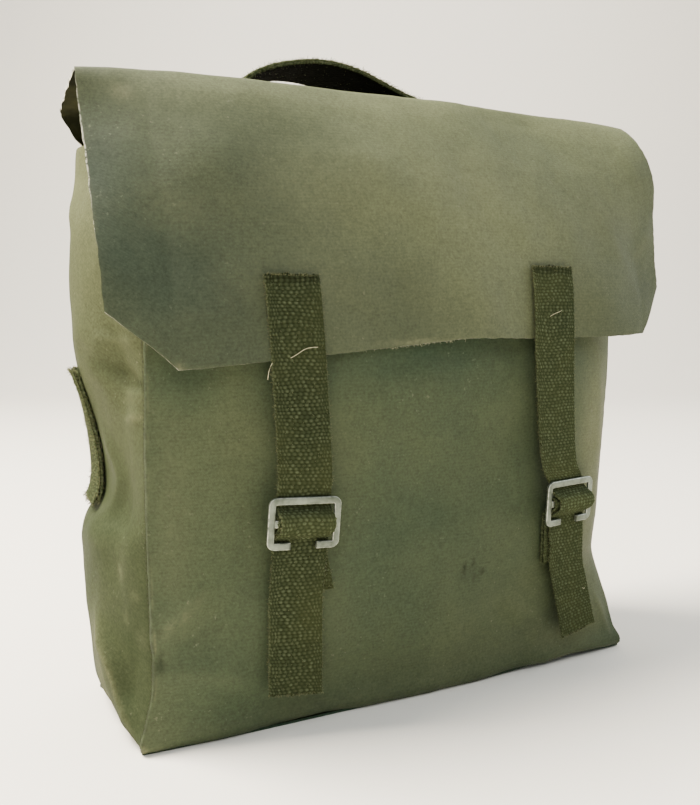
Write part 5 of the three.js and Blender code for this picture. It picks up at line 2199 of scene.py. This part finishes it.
def web_piece(layers: Sequence[Webbing], name: str, node: str, hold: Hold,
              finishes: Finishes) -> bpy.types.Object:
    """Makes one piece of webbing from its layers, with its stray fibres.

    Args:
        layers: the lengths of webbing that it is made of.
        name: the piece's name.
        node: the CAD node that it stands for.
        hold: how it is held; not used.
        finishes: the pack's finishes.

    Returns:
        The object.
    """
    shape = layers[0].shell()
    for layer in layers[1:]:
        add_shape(shape, layer.shell())
    piece = riding_piece(name, plain_mesh(name, shape), [finishes.webbing])
    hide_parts(node)
    paths: list[Array] = []
    radii: list[Array] = []
    for layer in layers:
        more_paths, more_radii = layer.fuzz()
        paths += more_paths
        radii += more_radii
    fuzz = joined_tubes(f"{name}_fibres", paths, radii, 3, finishes.fibre)
    length = sum(layer.length() for layer in layers)
    return piece


@dataclass
class Fastening:
    """One closing strap with its buckle and the chape that holds it."""

    side: Side
    top_x: float
    top_height: float
    edge_x: float
    buckle_x: float
    buckle_height: float
    lean: float
    lead_drift: float
    bar_drift: float
    tail_drift: float
    tail_x: float
    tail_height: float
    tail_tilt: float
    chape_drift: float
    standoff: float
    threads: tuple[tuple[Lie, ...], ...]
    strap_tone: float = 1.0
    sewn_rows: int = 6
    # Painted shade over the strap's upper end, where it turns under.
    sewn_shade: float = 0.35
    rubbed: float = 0.3
    bar_reach: float = 6.0
    bar_row: int = 7
    lap: float = 1.45
    overhang: float = 4.0
    rise_from: float = -40.0
    rise_to: float = 4.0
    tail_shares: tuple[float, ...] = (0.3, 0.65, 1.0)
    tail_settle: float = 2.5
    tail_clear: float = 1.2
    strip: float = 4.2
    plate: float = 2.0
    bar_plate: float = 1.8
    bar_sunk: float = 1.0
    bar_steps: int = 6
    half_width: float = 22.0
    half_height: float = 15.0
    half_gap: float = 8.0
    hook_lead: float = 2.0
    corner: float = 2.7
    corner_steps: int = 9
    round_edge: float = 0.6
    round_steps: int = 4
    # How strongly each corner of a bar's outline takes the pale edge tint, partly rubbing and partly painted
    # highlight.
    edge_rub: tuple[float, ...] = (0.1, 1.0, 1.0, 0.1)
    thread_radius: float = 0.2
    first_seed: int = 100
    side_seed: int = 7

    def __post_init__(self) -> None:
        """Finds the buckle's own axes on the front panel."""
        x, height = self.buckle_x, self.buckle_height
        over = unit(self.on_front(x + HALF_WEB, height) - self.on_front(x - HALF_WEB, height))
        rise = self.on_front(x, height + self.rise_to) - self.on_front(x, height + self.rise_from)
        self.out = unit(np.cross(over, unit(rise)))
        up = np.cross(self.out, over)
        turn = math.radians(-self.lean)
        self.over = over * math.cos(turn) + up * math.sin(turn)
        self.up = up * math.cos(turn) - over * math.sin(turn)
        self.centre = self.on_front(x, height) + self.out * self.standoff

    @staticmethod
    def on_front(x: float, height: float) -> Array:
        """Returns a point of the front panel."""
        return SHAPE.front_at(np.array(x), np.array(height))

    def placed(self, over: Array, up: Array, out: Array) -> Array:
        """Returns points given in the buckle's own axes."""
        over, up, out = (part[..., None] for part in np.broadcast_arrays(over, up, out))
        return self.centre + self.over * over + self.up * up + self.out * out

    def strap_rows(self) -> Array:
        """Returns the strap's rows: sewn on the flap, through the buckle, then the tail."""
        rows = []
        places = np.array([-1, 0, 1]) * HALF_WEB
        hem = FLAP_FRONTS[-1]
        edge = SHAPE.hem.straight("height", (self.edge_x - hem.left_x) / (hem.right_x - hem.left_x))
        for share in np.linspace(0, 1, self.sewn_rows):
            height = lerp(self.top_height, float(edge) - self.overhang, share)
            points = SHAPE.flap_front_at(lerp(self.top_x, self.edge_x, share) + places, np.full(3, height))
            points[:, 1] -= self.lap
            rows.append(points)
        clear_of_frame = self.half_height - self.strip
        highest = STRAP_THROUGH[0].up - clear_of_frame
        lowest = STRAP_THROUGH[-1].up
        for step in STRAP_THROUGH:
            drift = max(0.0, (step.up - clear_of_frame) / highest) * self.lead_drift
            drift += max(0.0, 1 - (step.up / self.bar_reach) ** 2) * self.bar_drift
            drift += max(0.0, step.up / lowest) * self.tail_drift
            rows.append(self.placed(places + drift, step.up, step.out))
        knot = rows[-1]
        tilt = np.array([-1, 0, 1]) * self.tail_tilt
        foot = stacked(self.tail_x + places, knot[:, 1] + self.tail_settle, self.tail_height + tilt)
        for share in self.tail_shares:
            hanging = lerp(knot, foot, share)
            panel = SHAPE.front_at(hanging[:, 0], hanging[:, 2])[:, 1]
            hanging[:, 1] = np.minimum(hanging[:, 1], panel - self.tail_clear - WEB_WALL / 2)
            rows.append(hanging)
        return np.array(rows)

    def chape_rows(self) -> Array:
        """Returns the chape's rows round the buckle's bar, from its face down its back."""
        places = np.array([1, 0, -1]) * HALF_WEB
        below = -CHAPE_LOOP[0].up - self.half_height
        rows = []
        for step in CHAPE_LOOP:
            drift = max(0.0, -step.up - self.half_height) / below * self.chape_drift
            rows.append(self.placed(places + drift, step.up, step.out))
        return np.array(rows)

    def bar_section(self, width: float, thick: float) -> Array:
        """Returns the rounded outline of a flat bar, as (across, out)."""
        radius = self.round_edge
        outline = []
        for turn, (across, out) in enumerate(((1, 1), (-1, 1), (-1, -1), (1, -1))):
            middle = np.array([across * (width / 2 - radius), out * (thick / 2 - radius)])
            for share in np.linspace(0, math.pi / 2, self.round_steps):
                angle = turn * math.pi / 2 + share
                outline.append(middle + radius * np.array([math.cos(angle), math.sin(angle)]))
        return np.array(outline)

    def frame_path(self) -> Array:
        """Returns the middle line of the buckle's open frame in its own plane."""
        tall = self.half_height - self.strip / 2
        wide = self.half_width - self.strip / 2 - self.corner
        high = tall - self.corner
        path = [(-self.half_gap, -tall), (-self.half_gap - self.hook_lead, -tall)]
        corners = ((-wide, -high, -90.0), (-wide, high, 180.0), (wide, high, 90.0), (wide, -high, 0.0))
        for middle_x, middle_y, start in corners:
            for share in np.linspace(0, 1, self.corner_steps):
                angle = math.radians(start - 90.0 * share)
                across = middle_x + self.corner * math.cos(angle)
                path.append((across, middle_y + self.corner * math.sin(angle)))
        path += [(self.half_gap + self.hook_lead, -tall), (self.half_gap, -tall)]
        return np.array(path)

    def sweep(self, path: Array, section: Array) -> bmesh.types.BMesh:
        """Sweeps a bar's outline along a flat path in the buckle's plane and closes its ends."""
        along = unit(np.gradient(path, axis=0))
        side = np.stack([along[:, 1], -along[:, 0]], axis=-1)
        loop = np.concatenate((section, section[:1]))
        places = path[:, None, :] + side[:, None, :] * loop[None, :, :1]
        outs = np.broadcast_to(loop[None, :, 1], places.shape[:2])
        rub = np.resize(self.edge_rub, len(loop))
        lattice = self.placed(places[..., 0], places[..., 1], outs)
        bar = lattice_bmesh(lattice, places, {"edge": np.broadcast_to(rub, outs.shape)})
        for cap in close_tube(bar):
            cap.smooth = False
        return bar

    def build(self, finishes: Finishes) -> list[bpy.types.Object]:
        """Makes the strap, the chape and the buckle.

        Args:
            finishes: the pack's finishes.

        Returns:
            The pieces.
        """
        word = self.side.word
        seed = self.first_seed + self.side_seed * self.side.value
        keys = self.strap_rows()
        strap = Webbing(
            f"web_strap_{word}", keys, seed=seed, sewn_shade=self.sewn_shade, tone=self.strap_tone,
            rubbed_at=steps_along(keys[:, 1])[:self.sewn_rows + self.bar_row].sum(), rubbed=self.rubbed,
        )
        self.loose_threads(strap, finishes)
        chape = Webbing(
            f"web_chape_{word}", self.chape_rows(), spacing=0.6, face_steps=48, back_steps=12, fibres=260,
            seed=seed + 1,
        )
        return [
            web_piece([strap], strap.name, f"closing_strap_{word}", Hold.HUNG, finishes),
            web_piece([chape], chape.name, f"chape_{word}", Hold.FOLDED, finishes),
            self.buckle(finishes),
        ]

    def loose_threads(self, strap: Webbing, finishes: Finishes) -> bpy.types.Object:
        """Lays the pale loose threads on the strap."""
        paths = [smooth_path(np.array([strap.on_face(lie) for lie in thread])) for thread in self.threads]
        radii = [np.full(len(path), self.thread_radius) for path in paths]
        laid = joined_tubes(f"{strap.name}_threads", paths, radii, 5, finishes.loose_thread)
        return laid

    def buckle(self, finishes: Finishes) -> bpy.types.Object:
        """Makes the buckle's open frame and its centre bar."""
        name = f"metal_buckle_{self.side.word}"
        shape = self.sweep(self.frame_path(), self.bar_section(self.strip, self.plate))
        reach = self.half_width - self.strip + self.bar_sunk
        bar_path = np.stack([np.linspace(-reach, reach, self.bar_steps), np.zeros(self.bar_steps)], axis=-1)
        add_shape(shape, self.sweep(bar_path, self.bar_section(self.strip, self.bar_plate)))
        piece = riding_piece(name, plain_mesh(name, shape), [finishes.zinc])
        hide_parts(f"buckle_{self.side.word}")
        return piece


@dataclass
class CarryHandle:
    """The doubled webbing bridge sewn on the flap behind its crest."""

    lap: float = 0.4
    layer_apart: float = 1.45

    def layer(self, lift: float) -> Array:
        """Returns the rows of one layer at a lift over the flap."""
        rows = []
        for step in HANDLE_PATH:
            row = []
            for side in (-1, 0, 1):
                rearward = (side + 1) / 2
                x = step.x - rearward * step.rise * HANDLE_LEAN
                y = HANDLE_MIDDLE_Y + side * HALF_WEB
                rise = step.rise * (1 + rearward * HANDLE_REAR_RISE)
                row.append([x, y, SHAPE.flap_top_height(x, y) + lift + rise])
            rows.append(row)
        return np.array(rows)

    def build(self, finishes: Finishes) -> bpy.types.Object:
        """Makes the handle."""
        low = self.layer(self.lap + WEB_WALL / 2)[:, ::-1]
        high = self.layer(self.lap + WEB_WALL / 2 + self.layer_apart)
        grid = {"spacing": 0.62, "face_steps": 50, "back_steps": 12}
        layers = [
            # Tone 0.07 darkens the lower layer almost to black: painted shade under the arch of the handle.
            Webbing("low", low, **grid, fibres=900, fibre_radius=0.07, seed=201, tone=0.07, edge_tone=1.2),
            Webbing(
                "high", high, **grid, fibres=3400, fibre_radius=0.16, fibre_reach=3.0, seed=202,
                edge_tone=1.5,
            ),
        ]
        return web_piece(layers, "web_carry_handle", "carry_handle", Hold.FOLDED, finishes)


@dataclass
class SideLoop:
    """A short doubled length of webbing sewn upright on a side wall."""

    side: Side
    inset: float
    layer_apart: float = 1.45

    def layer(self, lift: float, splay: float) -> Array:
        """Returns the rows of one layer at a lift from the side wall, with a share of their parting."""
        order = np.array([0.0, 0.5, 1.0])[::-self.side.value]
        y = LOOP_FRONT_Y + WEB_WIDTH * order
        rows = []
        for step in LOOP_PATH:
            ends = SHAPE.gusset_point(self.side, np.array([0.0, 1.0]), np.array(step.height), self.inset)
            across = (y - ends[0, 1]) / (ends[1, 1] - ends[0, 1])
            row = SHAPE.gusset_point(self.side, across, np.array(step.height), self.inset)
            row[:, 0] += self.side.value * (step.clear + lift + splay * step.split)
            rows.append(row)
        return np.array(rows)

    def build(self, finishes: Finishes) -> bpy.types.Object:
        """Makes the loop."""
        word = self.side.word
        look = {"spacing": 0.62, "face_steps": 48, "back_steps": 12, "edge_tone": 1.7}
        fuzz = {"fibre_radius": 0.15, "fibre_reach": 2.6}
        far = self.layer(WEB_WALL / 2 + self.layer_apart, 1.0)
        layers = [
            Webbing("near", self.layer(WEB_WALL / 2, 0.0), **look, **fuzz, fibres=700, seed=301),
            Webbing("far", far, **look, **fuzz, fibres=1300, seed=302),
        ]
        name = f"side_loop_{word}"
        return web_piece(layers, f"web_{name}", name, Hold.FOLDED, finishes)


class Lamp(NamedTuple):
    """A soft square light: its place in metres, its side, its watts, its tint and what it looks at."""

    name: str
    place: tuple[float, float, float]
    size: float
    power: float
    colour: tuple[float, float, float]
    aim: tuple[float, float, float] = (0.0, 0.0, 0.2)


@dataclass
class Studio:
    """The pale sweep, the soft light and the camera."""

    camera_place: tuple[float, float, float] = (-301.8, -548.8, 252.5)
    camera_turn: float = -27.8
    camera_dip: float = 6.37
    camera_near: float = 0.01
    lens: float = 41.59
    film: float = 36.0
    sweep_half_width: float = 5.0
    sweep_front: float = -3.0
    sweep_back: float = 1.8
    sweep_radius: float = 0.9
    sweep_height: float = 3.2
    sweep_rows: int = 120
    sweep_columns: int = 9
    sky: Colour = (0.88, 0.94, 1.0, 1)
    sky_strength: float = 0.46
    lamps: tuple[Lamp, ...] = (
        Lamp("key_light", (-0.95, 0.50, 1.75), 1.0, 195.0, (1.0, 0.93, 0.80)),
        Lamp("front_fill", (-0.9, -1.5, 1.90), 0.9, 20.0, (0.96, 0.99, 1.0)),
        Lamp("right_fill", (1.8, -0.45, 1.15), 1.3, 26.0, (0.94, 0.98, 1.0)),
        Lamp("backdrop_wash", (0.45, 0.9, 2.3), 1.2, 34.0, (1.0, 0.98, 0.96), (1.2, 2.3, 0.5)),
    )

    def build(self, finishes: Finishes) -> None:
        """Sets the floor, the lights and the camera.

        Args:
            finishes: the pack's finishes.
        """
        self.floor(finishes)
        for lamp in self.lamps:
            self.hang(lamp)
        world = bpy.data.worlds.new("studio")
        world.use_nodes = True
        background = world.node_tree.nodes["Background"]
        background.inputs["Color"].default_value = self.sky
        background.inputs["Strength"].default_value = self.sky_strength
        bpy.context.scene.world = world
        self.camera()

    def floor(self, finishes: Finishes) -> None:
        """Makes the floor and the backdrop that it curves up into."""
        level = self.sweep_back - self.sweep_front
        bend = math.pi / 2 * self.sweep_radius
        run = np.linspace(0, level + bend + self.sweep_height, self.sweep_rows)
        past = np.clip(run - level, 0, None)
        angle = np.clip(past / self.sweep_radius, 0, math.pi / 2)
        deep = self.sweep_front + np.minimum(run, level) + self.sweep_radius * np.sin(angle)
        tall = self.sweep_radius * (1 - np.cos(angle)) + np.clip(past - bend, 0, None)
        turn = math.radians(self.camera_turn)
        side = np.linspace(-self.sweep_half_width, self.sweep_half_width, self.sweep_columns)
        across, depth = np.meshgrid(side, deep)
        x = across * math.cos(turn) - depth * math.sin(turn)
        y = across * math.sin(turn) + depth * math.cos(turn)
        lattice = stacked(x, y, tall[:, None]) / MM - ORIGIN
        mesh = plain_mesh("floor", lattice_bmesh(lattice, np.stack([across, depth], axis=-1), {}))
        mesh.materials.append(finishes.floor)
        floor = bpy.data.objects.new("floor", mesh)
        bpy.context.scene.collection.objects.link(floor)

    @staticmethod
    def hang(lamp: Lamp) -> None:
        """Hangs one soft light."""
        light = bpy.data.lights.new(lamp.name, "AREA")
        light.shape = "SQUARE"
        light.size = lamp.size
        light.energy = lamp.power
        light.color = lamp.colour
        hung = bpy.data.objects.new(lamp.name, light)
        hung.location = lamp.place
        hung.rotation_euler = (Vector(lamp.aim) - Vector(lamp.place)).to_track_quat("-Z", "Y").to_euler()
        bpy.context.scene.collection.objects.link(hung)

    def camera(self) -> None:
        """Stands the camera where the photograph was taken from."""
        data = bpy.data.cameras.new("photo_camera")
        data.lens = self.lens
        data.sensor_fit = "VERTICAL"
        data.sensor_height = self.film
        data.clip_start = self.camera_near
        eye = bpy.data.objects.new("photo_camera", data)
        eye.location = Vector((np.array(self.camera_place) + ORIGIN) * MM)
        eye.rotation_euler = (math.radians(90 - self.camera_dip), 0.0, math.radians(self.camera_turn))
        bpy.context.scene.collection.objects.link(eye)
        bpy.context.scene.camera = eye


def main() -> None:
    """Builds the pack piece by piece."""
    logging.basicConfig(level=logging.INFO, format="%(message)s")
    finishes = Finishes()
    Studio().build(finishes)
    walls = Walls()
    walls.build(finishes)
    Flap().build(finishes)
    fastenings = (
        Fastening(
            Side.LEFT, top_x=-88.5, top_height=265.6, edge_x=-87, buckle_x=-85.4, buckle_height=127.6,
            lean=3.3, lead_drift=0, bar_drift=1, tail_drift=-1, tail_x=-88.5, tail_height=25, tail_tilt=-1.9,
            chape_drift=7, standoff=9, threads=LEFT_THREADS,
        ),
        Fastening(
            Side.RIGHT, top_x=95, top_height=272.8, edge_x=93.5, buckle_x=106.8, buckle_height=120, lean=0,
            lead_drift=-9, bar_drift=3, tail_drift=5, tail_x=127, tail_height=26, tail_tilt=2,
            chape_drift=1, standoff=9.3, threads=RIGHT_THREADS, strap_tone=1.16,
        ),
    )
    for fastening in fastenings:
        fastening.build(finishes)
    CarryHandle().build(finishes)
    SideLoop(Side.LEFT, walls.left_inset).build(finishes)
    SideLoop(Side.RIGHT, walls.right_inset).build(finishes)
    bpy.context.view_layer.update()


if __name__ == "__main__":
    main()
